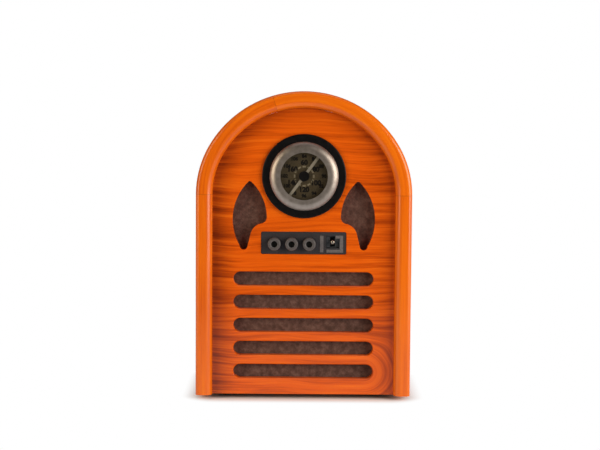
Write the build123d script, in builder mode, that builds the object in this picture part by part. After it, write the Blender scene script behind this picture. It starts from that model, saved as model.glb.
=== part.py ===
from build123d import *
import os
from math import acos, asin, cos, degrees, pi, radians, sin, tan

# Round-topped wooden table radio, in millimetres. The listener sits at -Y, +X is to the listener's right
# and +Z is up. The origin is the middle of the footprint, on the table top.

# Cabinet
cabinet_width = 210.0
cabinet_height = 301.5
cabinet_depth = 160.0
wall = 16.0
shoulder_radius = 94.0
shoulder_angle = 29.5
inner_edge_round = 7.0
outer_edge_round = 4.0
rear_edge_round = 1.5
foot_height = 4.5
foot_radius = 8.0
foot_inset = 16.0
base_thickness = 12.0
panel_recess = 10.0
panel_thickness = 9.0
rear_recess = 3.0
rear_thickness = 5.0
cleat_size = 8.0
rear_screw_rows = 3
vent_count = 7
vent_pitch = 14.0
vent_width = 3.6
vent_length = 60.0
vent_z = 150.0

# Openings in the front panel
slot_count = 5
slot_side_room = 36.5
slot_height = 13.8
slot_first_z = 27.1
slots_below_plate = 35.3
cut_edge = 0.7
leaf_x = 52.0
leaf_below_dial = 39.6
leaf_rise = 35.2
leaf_fall = 32.7
leaf_inwards = 15.8
leaf_share = 0.6034
leaf_tip_round = 2.0
cloth_thickness = 1.0
cloth_margin = 5.0

# Tuning dial
dial_share = 0.72677
flange_radius = 41.0
flange_proud = 3.0
flange_round = 1.2
sleeve_radius = 36.0
nut_thickness = 5.0
nut_width = 4.0
sleeve_spare = 1.0
ring_radius = 33.5
ring_thickness = 4.2
ring_dome_width = 7.0
ring_dome_fall = 3.5
skirt_radius = 32.0
face_radius = 23.0
lip_thickness = 1.5
lens_thickness = 1.2
lens_seat = 1.5
pointer_width = 2.8
pointer_thickness = 0.6
pointer_seat = 2.4
hub_radius = 5.0
hub_thickness = 1.1
pointer_rest_angle = 36.5
retainer_thickness = 1.5
retainer_width = 3.2
retainer_groove = 0.8
dial_plate_thickness = 0.8
carrier_thickness = 2.0
dial_clearance = 1.2
post_radius = 3.0
post_spread = 66.0
bridge_thickness = 2.0
spacer_radius = 4.0
bridge_margin = 3.0
bridge_upper = (50.0, 18.0)
bridge_lower = (22.0, -46.0)

# Tuning drive
gear_module = 1.0
ring_teeth = 56
pinion_teeth = 36
pressure_angle = radians(20)
tooth_addendum = 0.8
tooth_dedendum = 1.2
tooth_slack = 0.12
gear_width = 6.0
gear_clearance = 2.0
shaft_spare = 1.0
pinion_width = 5.0
capacitor_size = 30.0
capacitor_depth = 24.0

# Controls
plate_width = 83.0
plate_height = 21.6
plate_thickness = 2.5
plate_sunk = 0.5
plate_ledge = 3.0
plate_corner = 1.5
plate_below_dial = 65.4
knob_x = (-28.7, -11.8, 5.4)
knob_below_plate = 0.8
knob_radius = 6.35
knob_length = 7.0
knob_eye_radius = 3.0
knob_eye_depth = 2.2
knob_web = 0.8
knob_round = 0.8
shaft_radius = 3.0
bracket_thickness = 1.5
bracket_side_margin = 4.5
bracket_end_margin = 2.0
pot_size = 15.0
pot_depth = 9.5
bushing_radius = 3.5
bushing_length = 4.5
control_nut_flats = 9.0
control_nut_thickness = 2.2
selector_x = 28.2
selector_above_plate = 1.2
selector_opening_width = 13.0
selector_opening_height = 12.0
selector_depth = 13.5
selector_neck = 6.0
selector_shoulder = 2.0
lever_reach = 11.0
lever_radius = 1.4
lever_tip_radius = 2.3
lever_ball_radius = 2.0
lever_pin_radius = 1.0
lever_pin_length = 8.8
lever_slot_width = 4.8
lever_slot_height = 10.0

# Loudspeaker
baffle_thickness = 8.0
speaker_rim_room = 4.0
frame_lip = 10.0
basket_depth = 29.5
sheet_steel = 1.5
ledge_height = 3.5
basket_floor_margin = 5.0
ledge_width = 5.5
baffle_margin = 1.0
speaker_hole_margin = 3.0
spider_waves = 3
roll_span = 5.0
cone_depth = 20.0
cone_wall = 1.0
cap_overlap = 3.0
roll_height = 3.0
roll_wall = 0.6
roll_glue_width = 2.0
roll_foot_gap = 0.5
coil_share = 0.2296
coil_wall = 0.8
coil_length = 19.0
pole_gap = 0.4
magnet_share = 0.5556
magnet_thickness = 12.0
magnet_lip = 2.0
pole_plate_thickness = 5.0
yoke_thickness = 5.0
magnet_gap = 2.0

# Electronics
board_side_room = 25.0
board_depth = 58.0
board_thickness = 1.6
standoff_height = 8.0
standoff_radius = 3.0
standoff_inset = 6.0
standoff_snap = 2.0
board_setback = 6.0
can_size = (36.0, 26.0, 12.0)
electrolytic_radius = 5.0
electrolytic_height = 16.0
electrolytic_pitch = 20.0
rod_radius = 5.0
rod_side_room = 25.0
rod_below_top = 55.0
rod_setback = 18.0
holder_inset = 20.0
holder_width = 8.0
holder_wall = 4.0
coil_sleeve_length = 32.0
coil_sleeve_wall = 2.4
inlet_side_room = 45.0
inlet_z = 42.0
inlet_radius = 4.0
inlet_rim = 2.0
inlet_flange = 1.5
inlet_length = 15.0
inlet_wall = 1.25
inlet_bore_depth = 10.0
inlet_pin_radius = 1.0
inlet_nut_flats = 11.0
inlet_nut_thickness = 3.0

# Clearances and common fasteners
fit_gap = 0.3
glue_gap = 0.05
running_gap = 0.05
screw_radius = 1.5
screw_head_radius = 3.0
screw_head_height = 2.0
screw_edge = 1.0
bite = 0.75

# Places worked out from the sizes above
half_width = cabinet_width / 2
inner_half = half_width - wall
front_y = -cabinet_depth / 2
back_y = cabinet_depth / 2
panel_front_y = front_y + panel_recess
panel_rear_y = panel_front_y + panel_thickness
rear_outer_y = back_y - rear_recess
rear_inner_y = rear_outer_y - rear_thickness
base_top = foot_height + base_thickness
shoulder_offset = half_width - shoulder_radius
crown_radius = shoulder_radius + shoulder_offset / cos(radians(shoulder_angle))
spring_z = cabinet_height - crown_radius + shoulder_offset * tan(radians(shoulder_angle))
cleat_inner = inner_half - cleat_size
dial_z = cabinet_height * dial_share
leaf_z = dial_z - leaf_below_dial
leaf_outwards = leaf_share * (cleat_inner - leaf_x)
plate_z = dial_z - plate_below_dial
knob_z = plate_z - knob_below_plate
selector_z = plate_z + selector_above_plate
slot_length = cabinet_width - 2 * slot_side_room
slot_pitch = (plate_z - slots_below_plate - slot_first_z) / (slot_count - 1)
speaker_z = slot_first_z + slot_pitch * (slot_count - 1) / 2
speaker_radius = slot_pitch * slot_count / 2 - speaker_rim_room
basket_opening = speaker_radius - frame_lip
cone_radius = basket_opening - roll_span
magnet_radius = speaker_radius * magnet_share
coil_radius = speaker_radius * coil_share
plate_radius = magnet_radius - magnet_lip
board_width = 2 * (inner_half - board_side_room)
rod_length = 2 * (inner_half - rod_side_room)
rod_z = cabinet_height - rod_below_top
holder_x = rod_length / 2 - holder_inset
inlet_x = half_width - inlet_side_room


def facing(y):
    """Plane at depth y that faces the listener: its own x and y are the radio's X and Z."""
    return Plane.XZ.offset(-y)


def facing_about(y, z):
    """The same plane with its origin on the middle line at height z."""
    return Plane((0, y, z), x_dir=(1, 0, 0), z_dir=(0, -1, 0))


def keep(piece, name):
    """Label a finished piece and write it."""
    piece.part.label = name
    export_step(piece.part, f"parts/{name}.step")


def draw_arch(inset, bottom, mode=Mode.ADD):
    """Round-topped outline, set in from the cabinet's outside, on a flat foot at height bottom."""
    side = half_width - inset
    with BuildLine() as outline:
        right_side = Line((side, bottom), (side, spring_z))
        right = JernArc(right_side @ 1, (0, 1), shoulder_radius - inset, shoulder_angle)
        crown = JernArc(right @ 1, right % 1, crown_radius - inset, 180 - 2 * shoulder_angle)
        left = JernArc(crown @ 1, crown % 1, shoulder_radius - inset, shoulder_angle)
        Polyline(left @ 1, (-side, bottom), (side, bottom))
    make_face(outline.edges(), mode=mode)


def draw_leaf(side):
    """Leaf-shaped opening, side -1 left or 1 right. Points are shares of the leaf's reach from its middle."""
    def at(outwards, up):
        across = outwards * (leaf_outwards if outwards > 0 else leaf_inwards)
        return (side * (leaf_x + across), leaf_z + up * (leaf_rise if up > 0 else leaf_fall))

    tip = at(0.046, 1.0)
    belly = at(-1.0, 0.02)
    waist = at(-0.72, -0.208)
    stem_top = at(0.006, -0.542)
    stem_foot = at(0.17, -0.9)
    heel = at(0.6, -0.885)
    with BuildLine() as outline:
        ThreePointArc(tip, at(-0.62, 0.625), belly)
        ThreePointArc(belly, at(-0.94, -0.125), waist)
        ThreePointArc(waist, at(-0.2, -0.34), stem_top)
        Line(stem_top, stem_foot)
        ThreePointArc(stem_foot, at(0.37, -1.0), heel)
        ThreePointArc(heel, at(1.0, -0.03), tip)
        fillet(outline.vertices().sort_by(Axis.Y)[-1], leaf_tip_round)
    make_face(outline.edges())


def slab(low, high, mode=Mode.ADD):
    """Block between two opposite corners."""
    with Locations(tuple((a + b) / 2 for a, b in zip(low, high))):
        Box(*[b - a for a, b in zip(low, high)], mode=mode)


def rod(radius, rear, front, x=0, z=0, mode=Mode.ADD):
    """Round bar along Y between two depths."""
    with Locations(Location((x, (rear + front) / 2, z), (90, 0, 0))):
        Cylinder(radius, rear - front, mode=mode)


def peg(radius, low, high, x, y, mode=Mode.ADD):
    """Round bar along Z between two heights."""
    with Locations((x, y, (low + high) / 2)):
        Cylinder(radius, high - low, mode=mode)


def turn(profile, z, mode=Mode.ADD):
    """Turned piece about the Y-wise axis at height z, from (radius, depth) points."""
    with BuildSketch(Plane.XY.offset(z)) as section:
        with BuildLine():
            Polyline(*profile, close=True)
        make_face()
    revolve(section.sketch, axis=Axis((0, 0, z), (0, 1, 0)), mode=mode)


def hexagon_bar(flats, rear, front, x, z):
    """Six-sided bar along Y."""
    with BuildSketch(facing(rear)) as section:
        with Locations((x, z)):
            RegularPolygon(flats / 2, 6, major_radius=False)
    extrude(section.sketch, amount=rear - front)


os.makedirs("parts", exist_ok=True)

# Cabinet shell: bent and glued wood, an upturned U with a rounded front rim
with BuildPart() as cabinet_shell:
    with BuildSketch(facing(back_y)):
        draw_arch(0, foot_height)
    extrude(amount=cabinet_depth)
    fillet(cabinet_shell.faces().sort_by(Axis.Y)[0].edges().sort_by(Axis.Z)[-1], outer_edge_round)
    fillet(cabinet_shell.faces().sort_by(Axis.Y)[-1].edges().sort_by(Axis.Z)[-1], rear_edge_round)
    with BuildSketch(facing(back_y)):
        draw_arch(wall, foot_height)
    extrude(amount=cabinet_depth, mode=Mode.SUBTRACT)
    inner_edges = cabinet_shell.edges(Select.LAST).filter_by(lambda e: e.length > wall)
    front_inner = inner_edges.filter_by_position(Axis.Y, front_y, front_y)
    rear_inner = inner_edges.filter_by_position(Axis.Y, back_y, back_y)
    fillet(front_inner.sort_by(Axis.Z)[-1], inner_edge_round)
    fillet(rear_inner.sort_by(Axis.Z)[-1], rear_edge_round)
keep(cabinet_shell, "cabinet_shell")

# Base board between the shell's sides, with pilot holes for the foot screws
foot_x = inner_half - foot_inset
foot_front_y = panel_rear_y + foot_inset
foot_rear_y = rear_inner_y - foot_inset
foot_places = [(x, y) for x in (-foot_x, foot_x) for y in (foot_front_y, foot_rear_y)]
foot_recess = foot_height / 2
foot_screw_top = foot_height + bite * base_thickness
with BuildPart() as base_board:
    slab((-inner_half, panel_rear_y, foot_height), (inner_half, rear_inner_y, base_top))
    for x, y in foot_places:
        peg(screw_radius, foot_height, foot_screw_top, x, y, mode=Mode.SUBTRACT)
keep(base_board, "base_board")

with BuildPart() as feet:
    for x, y in foot_places:
        peg(foot_radius, 0, foot_height, x, y)
        peg(screw_head_radius + fit_gap, 0, foot_recess, x, y, mode=Mode.SUBTRACT)
        peg(screw_radius + fit_gap, foot_recess, foot_height, x, y, mode=Mode.SUBTRACT)
keep(feet, "feet")

with BuildPart() as foot_screws:
    for x, y in foot_places:
        peg(screw_head_radius, foot_recess / 2, foot_recess, x, y)
        peg(screw_radius, foot_recess, foot_screw_top, x, y)
keep(foot_screws, "foot_screws")

# Cleats: four strips glued inside the shell's sides, behind the front panel and before the rear panel
with BuildPart() as cleats:
    for start in (panel_rear_y, rear_inner_y - cleat_size):
        slab((-inner_half, start, base_top), (-cleat_inner, start + cleat_size, spring_z))
        slab((cleat_inner, start, base_top), (inner_half, start + cleat_size, spring_z))
    rear_screw_x = inner_half - cleat_size / 2
    rear_screw_step = (spring_z - base_top) / rear_screw_rows
    rear_screw_places = [
        (x, base_top + rear_screw_step * (row + 0.5))
        for x in (-rear_screw_x, rear_screw_x)
        for row in range(rear_screw_rows)
    ]
    rear_screw_end = rear_inner_y - bite * cleat_size
    for x, z in rear_screw_places:
        rod(screw_radius, rear_inner_y, rear_screw_end, x, z, mode=Mode.SUBTRACT)
keep(cleats, "cleats")

# Front panel: veneered board with the slots, the leaves, the dial bore and the control plate's rebate
slot_places = [(0, slot_first_z + slot_pitch * row) for row in range(slot_count)]
rebate_y = panel_front_y + plate_sunk + plate_thickness
window_width = plate_width - 2 * plate_ledge
window_height = plate_height - 2 * plate_ledge
bracket_half_width = plate_width / 2 + bracket_side_margin
bracket_half_height = window_height / 2 + bracket_end_margin
bracket_screw_x = bracket_half_width - screw_head_radius
bracket_screw_places = [(-bracket_screw_x, plate_z), (bracket_screw_x, plate_z)]
baffle_half = cleat_inner - baffle_margin
baffle_low = base_top + 2 * baffle_margin
baffle_high = slot_places[-1][1] + slot_height / 2 + 2 * screw_head_radius + screw_edge
baffle_screw_x = baffle_half - screw_head_radius - screw_edge
baffle_screw_places = [
    (x, z)
    for x in (-baffle_screw_x, baffle_screw_x)
    for z in (baffle_low + screw_head_radius + screw_edge, baffle_high - screw_head_radius - screw_edge)
]
bridge_screw_places = [
    (side * x, dial_z + up) for x, up in (bridge_upper, bridge_lower) for side in (-1, 1)
]
pilot_end = panel_rear_y - bite * panel_thickness
bracket_pilot_end = panel_rear_y - bite * (panel_rear_y - rebate_y)
with BuildPart() as front_panel:
    with BuildSketch(facing(panel_rear_y)):
        draw_arch(wall + glue_gap, foot_height)
    extrude(amount=panel_thickness)
    with BuildSketch(facing(panel_rear_y)):
        with Locations(*slot_places):
            SlotOverall(slot_length, slot_height)
    extrude(amount=panel_thickness, mode=Mode.SUBTRACT)
    chamfer(front_panel.faces().sort_by(Axis.Y)[0].inner_wires().edges(), cut_edge)
    with BuildSketch(facing(panel_rear_y)):
        draw_leaf(-1)
        draw_leaf(1)
    extrude(amount=panel_thickness, mode=Mode.SUBTRACT)
    with BuildSketch(facing(rebate_y)):
        with Locations((0, plate_z)):
            RectangleRounded(plate_width + 2 * fit_gap, plate_height + 2 * fit_gap, plate_corner + fit_gap)
    extrude(amount=plate_thickness + plate_sunk, mode=Mode.SUBTRACT)
    with BuildSketch(facing(panel_rear_y)):
        with Locations((0, plate_z)):
            Rectangle(window_width, window_height)
    extrude(amount=panel_thickness, mode=Mode.SUBTRACT)
    rod(sleeve_radius + fit_gap, panel_rear_y, panel_front_y, 0, dial_z, mode=Mode.SUBTRACT)
    for x, z in baffle_screw_places + bridge_screw_places:
        rod(screw_radius, panel_rear_y, pilot_end, x, z, mode=Mode.SUBTRACT)
    for x, z in bracket_screw_places:
        rod(screw_radius, panel_rear_y, bracket_pilot_end, x, z, mode=Mode.SUBTRACT)
keep(front_panel, "front_panel")

# Loudspeaker cloth glued behind the slots and behind each leaf
cloth_y = panel_rear_y + cloth_thickness
with BuildPart() as grille_cloth:
    cloth_half = slot_length / 2 + cloth_margin
    cloth_low = slot_places[0][1] - slot_height / 2 - cloth_margin / 2
    cloth_high = slot_places[-1][1] + slot_height / 2 + cloth_margin / 2
    slab((-cloth_half, panel_rear_y, cloth_low), (cloth_half, cloth_y, cloth_high))
keep(grille_cloth, "grille_cloth")

with BuildPart() as leaf_cloth_left:
    with BuildSketch(facing(cloth_y)):
        draw_leaf(-1)
        offset(amount=cloth_margin)
    extrude(amount=cloth_thickness)
keep(leaf_cloth_left, "leaf_cloth_left")

with BuildPart() as leaf_cloth_right:
    with BuildSketch(facing(cloth_y)):
        draw_leaf(1)
        offset(amount=cloth_margin)
    extrude(amount=cloth_thickness)
keep(leaf_cloth_right, "leaf_cloth_right")

# Baffle: board behind the slots that carries the loudspeaker
baffle_rear_y = cloth_y + baffle_thickness
speaker_hole = basket_opening + speaker_hole_margin
speaker_screw_ring = (speaker_radius + speaker_hole) / 2
speaker_screw_places = [
    (speaker_screw_ring * cos(radians(a)), speaker_z + speaker_screw_ring * sin(radians(a)))
    for a in (45, 135, 225, 315)
]
speaker_screw_end = baffle_rear_y - bite * baffle_thickness
with BuildPart() as speaker_baffle:
    slab((-baffle_half, cloth_y, baffle_low), (baffle_half, baffle_rear_y, baffle_high))
    rod(speaker_hole, baffle_rear_y, cloth_y, 0, speaker_z, mode=Mode.SUBTRACT)
    for x, z in speaker_screw_places:
        rod(screw_radius, baffle_rear_y, speaker_screw_end, x, z, mode=Mode.SUBTRACT)
    for x, z in baffle_screw_places:
        rod(screw_radius + fit_gap, baffle_rear_y, cloth_y, x, z, mode=Mode.SUBTRACT)
keep(speaker_baffle, "speaker_baffle")

with BuildPart() as baffle_screws:
    for x, z in baffle_screw_places:
        rod(screw_head_radius, baffle_rear_y + screw_head_height, baffle_rear_y, x, z)
        rod(screw_radius, baffle_rear_y, pilot_end, x, z)
keep(baffle_screws, "baffle_screws")

# Dial flange: black ring on the panel, with a sleeve through it that the tuning ring turns in
flange_front_y = panel_front_y - flange_proud
sleeve_rear_y = panel_rear_y + nut_thickness + sleeve_spare
flange_bore = skirt_radius + running_gap
with BuildPart() as dial_flange:
    turn([
        (flange_bore, flange_front_y), (flange_radius, flange_front_y), (flange_radius, panel_front_y),
        (sleeve_radius, panel_front_y), (sleeve_radius, sleeve_rear_y), (flange_bore, sleeve_rear_y),
    ], dial_z)
    flange_rim = dial_flange.faces().sort_by(Axis.Y)[0].edges().sort_by(SortBy.LENGTH)[-1]
    fillet(flange_rim, flange_round)
keep(dial_flange, "dial_flange")

with BuildPart() as flange_nut:
    nut_bore = sleeve_radius + running_gap
    rod(nut_bore + nut_width, panel_rear_y + nut_thickness, panel_rear_y, 0, dial_z)
    rod(nut_bore, panel_rear_y + nut_thickness, panel_rear_y, 0, dial_z, mode=Mode.SUBTRACT)
    with BuildSketch(facing(panel_rear_y + nut_thickness)):
        with Locations((0, dial_z)):
            with PolarLocations(nut_bore + nut_width, 4, start_angle=45):
                Rectangle(nut_width, nut_width)
    extrude(amount=nut_thickness, mode=Mode.SUBTRACT)
keep(flange_nut, "flange_nut")

# Tuning ring: turned aluminium, with a lip in front of the lens and teeth cut inside its rear end
gear_root = gear_module * (ring_teeth / 2 + tooth_dedendum)
gear_tip = gear_module * (ring_teeth / 2 - tooth_addendum)
ring_rear_y = flange_front_y - fit_gap
ring_front_y = ring_rear_y - ring_thickness
lip_rear_y = ring_front_y + lip_thickness
ring_dome_start = (ring_radius - ring_dome_width, ring_front_y)
ring_dome_end = (ring_radius, ring_front_y + ring_dome_fall)
lens_bore = face_radius + lens_seat
skirt_bore = gear_root + running_gap
retainer_y = sleeve_rear_y + fit_gap
gear_front_y = retainer_y + retainer_thickness + fit_gap
gear_rear_y = gear_front_y + gear_width
groove_radius = skirt_radius - retainer_groove


def involute(angle):
    return tan(angle) - angle


def draw_gear(teeth, tip, root, slack):
    """Involute gear outline, each flank in two straight runs, with one tooth pointing up."""
    pitch = gear_module * teeth / 2
    base = pitch * cos(pressure_angle)
    points = []
    for tooth in range(teeth):
        middle = 2 * pi * tooth / teeth
        flank = []
        for radius in (root, pitch, tip):
            lean = acos(min(1, base / radius))
            half = pi / (2 * teeth) + slack / pitch + involute(pressure_angle) - involute(lean)
            flank.append((radius, half))
        corners = [(radius, middle - half) for radius, half in flank]
        corners += [(radius, middle + half) for radius, half in reversed(flank)]
        points += [(-radius * sin(angle), radius * cos(angle)) for radius, angle in corners]
    Polygon(*points, align=None)


with BuildPart() as tuning_ring:
    turn([
        (face_radius, ring_front_y), (ring_radius, ring_front_y), (ring_radius, ring_rear_y),
        (skirt_radius, ring_rear_y), (skirt_radius, gear_rear_y), (gear_tip, gear_rear_y),
        (gear_tip, gear_front_y), (skirt_bore, gear_front_y), (skirt_bore, ring_rear_y),
        (lens_bore, ring_rear_y), (lens_bore, lip_rear_y), (face_radius, lip_rear_y),
    ], dial_z)
    with BuildSketch(Plane.XY.offset(dial_z)) as dome_waste:
        with BuildLine():
            Polyline(ring_dome_start, (ring_radius, ring_front_y), ring_dome_end)
            TangentArc(ring_dome_start, ring_dome_end, tangent=(1, 0))
        make_face()
    revolve(dome_waste.sketch, axis=Axis((0, 0, dial_z), (0, 1, 0)), mode=Mode.SUBTRACT)
    turn([
        (groove_radius, retainer_y), (ring_radius, retainer_y),
        (ring_radius, retainer_y + retainer_thickness), (groove_radius, retainer_y + retainer_thickness),
    ], dial_z, mode=Mode.SUBTRACT)
    with BuildSketch(facing_about(gear_rear_y, dial_z)):
        draw_gear(ring_teeth, gear_root, gear_tip - tooth_slack, tooth_slack)
    extrude(amount=gear_width, mode=Mode.SUBTRACT)
keep(tuning_ring, "tuning_ring")

with BuildPart() as ring_retainer:
    retainer_rear_y = retainer_y + retainer_thickness
    rod(groove_radius + retainer_width, retainer_rear_y, retainer_y, 0, dial_z)
    rod(groove_radius + running_gap, retainer_rear_y, retainer_y, 0, dial_z, mode=Mode.SUBTRACT)
keep(ring_retainer, "ring_retainer")

with BuildPart() as dial_lens:
    rod(lens_bore - running_gap, lip_rear_y + lens_thickness, lip_rear_y, 0, dial_z)
keep(dial_lens, "dial_lens")

# Pointer: a strip across the ring with both ends on its rear shoulder, and a dark cap at its middle
pointer_rear_y = ring_rear_y + pointer_thickness
with BuildPart() as pointer:
    with BuildSketch(facing_about(pointer_rear_y, dial_z)):
        Rectangle(pointer_width, 2 * (lens_bore + pointer_seat), rotation=-pointer_rest_angle)
    extrude(amount=pointer_thickness)
keep(pointer, "pointer")

with BuildPart() as pointer_hub:
    rod(hub_radius, ring_rear_y, ring_rear_y - hub_thickness, 0, dial_z)
keep(pointer_hub, "pointer_hub")

# Dial plate on a moulded carrier, whose three posts stand on the bridge behind the gear
plate_front_y = pointer_rear_y + dial_clearance
carrier_front_y = plate_front_y + dial_plate_thickness
bridge_front_y = gear_rear_y + gear_clearance
carrier_radius = gear_tip - dial_clearance
post_ring = carrier_radius - post_radius - dial_clearance
post_places = [
    (post_ring * sin(radians(a)), dial_z - post_ring * cos(radians(a)))
    for a in (-post_spread, 0, post_spread)
]
with BuildPart() as dial_plate:
    rod(carrier_radius, carrier_front_y, plate_front_y, 0, dial_z)
keep(dial_plate, "dial_plate")

with BuildPart() as dial_carrier:
    rod(carrier_radius, carrier_front_y + carrier_thickness, carrier_front_y, 0, dial_z)
    for x, z in post_places:
        rod(post_radius, bridge_front_y, carrier_front_y + carrier_thickness, x, z)
keep(dial_carrier, "dial_carrier")

# Bridge: steel plate on four spacers behind the panel, carrying the dial and the tuning capacitor
pinion_z = dial_z + gear_module * (ring_teeth - pinion_teeth) / 2
bridge_rear_y = bridge_front_y + bridge_thickness
bridge_corner = spacer_radius + bridge_margin
with BuildPart() as dial_bridge:
    with BuildSketch(facing(bridge_rear_y)):
        for x, z in bridge_screw_places:
            with Locations((x, z)):
                Circle(bridge_corner)
        make_hull()
        with Locations(*bridge_screw_places):
            Circle(screw_radius + fit_gap, mode=Mode.SUBTRACT)
        with Locations((0, pinion_z)):
            Circle(shaft_radius + running_gap, mode=Mode.SUBTRACT)
    extrude(amount=bridge_thickness)
keep(dial_bridge, "dial_bridge")

with BuildPart() as bridge_spacers:
    for x, z in bridge_screw_places:
        rod(spacer_radius, bridge_front_y, panel_rear_y, x, z)
        rod(screw_radius + fit_gap, bridge_front_y, panel_rear_y, x, z, mode=Mode.SUBTRACT)
keep(bridge_spacers, "bridge_spacers")

with BuildPart() as bridge_screws:
    for x, z in bridge_screw_places:
        rod(screw_head_radius, bridge_rear_y + screw_head_height, bridge_rear_y, x, z)
        rod(screw_radius, bridge_rear_y, pilot_end, x, z)
keep(bridge_screws, "bridge_screws")

# Tuning capacitor: closed body behind the bridge, its shaft and the pinion inside the ring's teeth
shaft_end_y = bridge_rear_y + capacitor_depth / 2
pinion_rear_y = gear_rear_y - (gear_width - pinion_width) / 2
pinion_front_y = pinion_rear_y - pinion_width
with BuildPart() as tuning_capacitor:
    half = capacitor_size / 2
    slab((-half, bridge_rear_y, pinion_z - half), (half, bridge_rear_y + capacitor_depth, pinion_z + half))
    rod(shaft_radius + running_gap, shaft_end_y + shaft_spare, bridge_rear_y, 0, pinion_z, mode=Mode.SUBTRACT)
keep(tuning_capacitor, "tuning_capacitor")

with BuildPart() as capacitor_shaft:
    rod(shaft_radius, shaft_end_y, pinion_front_y - shaft_spare, 0, pinion_z)
keep(capacitor_shaft, "capacitor_shaft")

with BuildPart() as capacitor_pinion:
    with BuildSketch(facing_about(pinion_rear_y, pinion_z)):
        pinion_tip = gear_module * (pinion_teeth / 2 + tooth_addendum)
        pinion_root = gear_module * (pinion_teeth / 2 - tooth_dedendum)
        draw_gear(pinion_teeth, pinion_tip, pinion_root, -tooth_slack)
        Circle(shaft_radius + running_gap, mode=Mode.SUBTRACT)
    extrude(amount=pinion_width)
keep(capacitor_pinion, "capacitor_pinion")

# Control plate: black moulded plate in the panel's rebate, with holes for the shafts and a square opening
plate_front_face_y = panel_front_y + plate_sunk
with BuildPart() as control_plate:
    with BuildSketch(facing(rebate_y)):
        with Locations((0, plate_z)):
            RectangleRounded(plate_width, plate_height, plate_corner)
        with Locations(*[(x, knob_z) for x in knob_x]):
            Circle(shaft_radius + fit_gap, mode=Mode.SUBTRACT)
        with Locations((selector_x, selector_z)):
            Rectangle(selector_opening_width, selector_opening_height, mode=Mode.SUBTRACT)
    extrude(amount=plate_thickness)
keep(control_plate, "control_plate")

# Bracket: steel strip over the window behind the plate, carrying the three pots and the selector switch
bracket_rear_y = panel_rear_y + bracket_thickness
neck_width = selector_opening_width - 2 * fit_gap
neck_height = selector_opening_height - 2 * fit_gap
with BuildPart() as control_bracket:
    with BuildSketch(facing(bracket_rear_y)):
        with Locations((0, plate_z)):
            Rectangle(2 * bracket_half_width, 2 * bracket_half_height)
        with Locations(*[(x, knob_z) for x in knob_x]):
            Circle(bushing_radius + running_gap, mode=Mode.SUBTRACT)
        with Locations((selector_x, selector_z)):
            Rectangle(selector_opening_width, selector_opening_height, mode=Mode.SUBTRACT)
        with Locations(*bracket_screw_places):
            Circle(screw_radius + fit_gap, mode=Mode.SUBTRACT)
    extrude(amount=bracket_thickness)
keep(control_bracket, "control_bracket")

with BuildPart() as bracket_screws:
    for x, z in bracket_screw_places:
        rod(screw_head_radius, bracket_rear_y + screw_head_height, bracket_rear_y, x, z)
        rod(screw_radius, bracket_rear_y, bracket_pilot_end, x, z)
keep(bracket_screws, "bracket_screws")

# Pots: square bodies with a threaded bushing through the bracket, each held by a nut in front of it
pot_rear_y = bracket_rear_y + pot_depth
shaft_rear_y = pot_rear_y - pot_depth / 4
with BuildPart() as control_pots:
    half = pot_size / 2
    for x in knob_x:
        slab((x - half, bracket_rear_y, knob_z - half), (x + half, pot_rear_y, knob_z + half))
        rod(bushing_radius, bracket_rear_y, bracket_rear_y - bushing_length, x, knob_z)
        shaft_bore = shaft_radius + running_gap
        bushing_front_y = bracket_rear_y - bushing_length
        rod(shaft_bore, shaft_rear_y + fit_gap, bushing_front_y, x, knob_z, mode=Mode.SUBTRACT)
keep(control_pots, "control_pots")

with BuildPart() as control_nuts:
    for x in knob_x:
        hexagon_bar(control_nut_flats, panel_rear_y, panel_rear_y - control_nut_thickness, x, knob_z)
        nut_front_y = panel_rear_y - control_nut_thickness
        rod(bushing_radius + running_gap, panel_rear_y, nut_front_y, x, knob_z, mode=Mode.SUBTRACT)
keep(control_nuts, "control_nuts")

# Knobs: small moulded caps with a round eye in the front, each pushed onto its shaft
knob_rear_y = plate_front_face_y - fit_gap
knob_front_y = knob_rear_y - knob_length
knob_bore_end_y = knob_front_y + knob_eye_depth + knob_web


def make_knob(x, name):
    with BuildPart() as knob:
        rod(knob_radius, knob_rear_y, knob_front_y, x, knob_z)
        fillet(knob.edges().filter_by(GeomType.CIRCLE).sort_by(Axis.Y)[0], knob_round)
        rod(knob_eye_radius, knob_front_y + knob_eye_depth, knob_front_y, x, knob_z, mode=Mode.SUBTRACT)
        rod(shaft_radius + running_gap, knob_rear_y, knob_bore_end_y, x, knob_z, mode=Mode.SUBTRACT)
    keep(knob, f"{name}_knob")
    with BuildPart() as shaft:
        rod(shaft_radius, shaft_rear_y, knob_bore_end_y + running_gap, x, knob_z)
    keep(shaft, f"{name}_shaft")


for place, control in zip(knob_x, ("volume", "bass", "treble")):
    make_knob(place, control)

# Selector: toggle switch whose neck stands in the square opening, and its lever on a cross pin
neck_front_y = bracket_rear_y - selector_neck
lever_y = bracket_rear_y - fit_gap
lever_tip_y = lever_y - lever_reach
slot_end_y = lever_y + lever_ball_radius + shaft_spare
with BuildPart() as selector_switch:
    half_w = neck_width / 2
    half_h = neck_height / 2
    body_half = selector_opening_height / 2 + selector_shoulder
    slab(
        (selector_x - half_w, bracket_rear_y, selector_z - body_half),
        (selector_x + half_w, bracket_rear_y + selector_depth, selector_z + body_half),
    )
    slab(
        (selector_x - half_w, neck_front_y, selector_z - half_h),
        (selector_x + half_w, bracket_rear_y, selector_z + half_h),
    )
    slab(
        (selector_x - lever_slot_width / 2, neck_front_y, selector_z - lever_slot_height / 2),
        (selector_x + lever_slot_width / 2, slot_end_y, selector_z + lever_slot_height / 2),
        mode=Mode.SUBTRACT,
    )
    with Locations(Location((selector_x, lever_y, selector_z), (0, 90, 0))):
        Cylinder(lever_pin_radius + running_gap, lever_pin_length + 2 * fit_gap, mode=Mode.SUBTRACT)
keep(selector_switch, "selector_switch")

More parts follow.
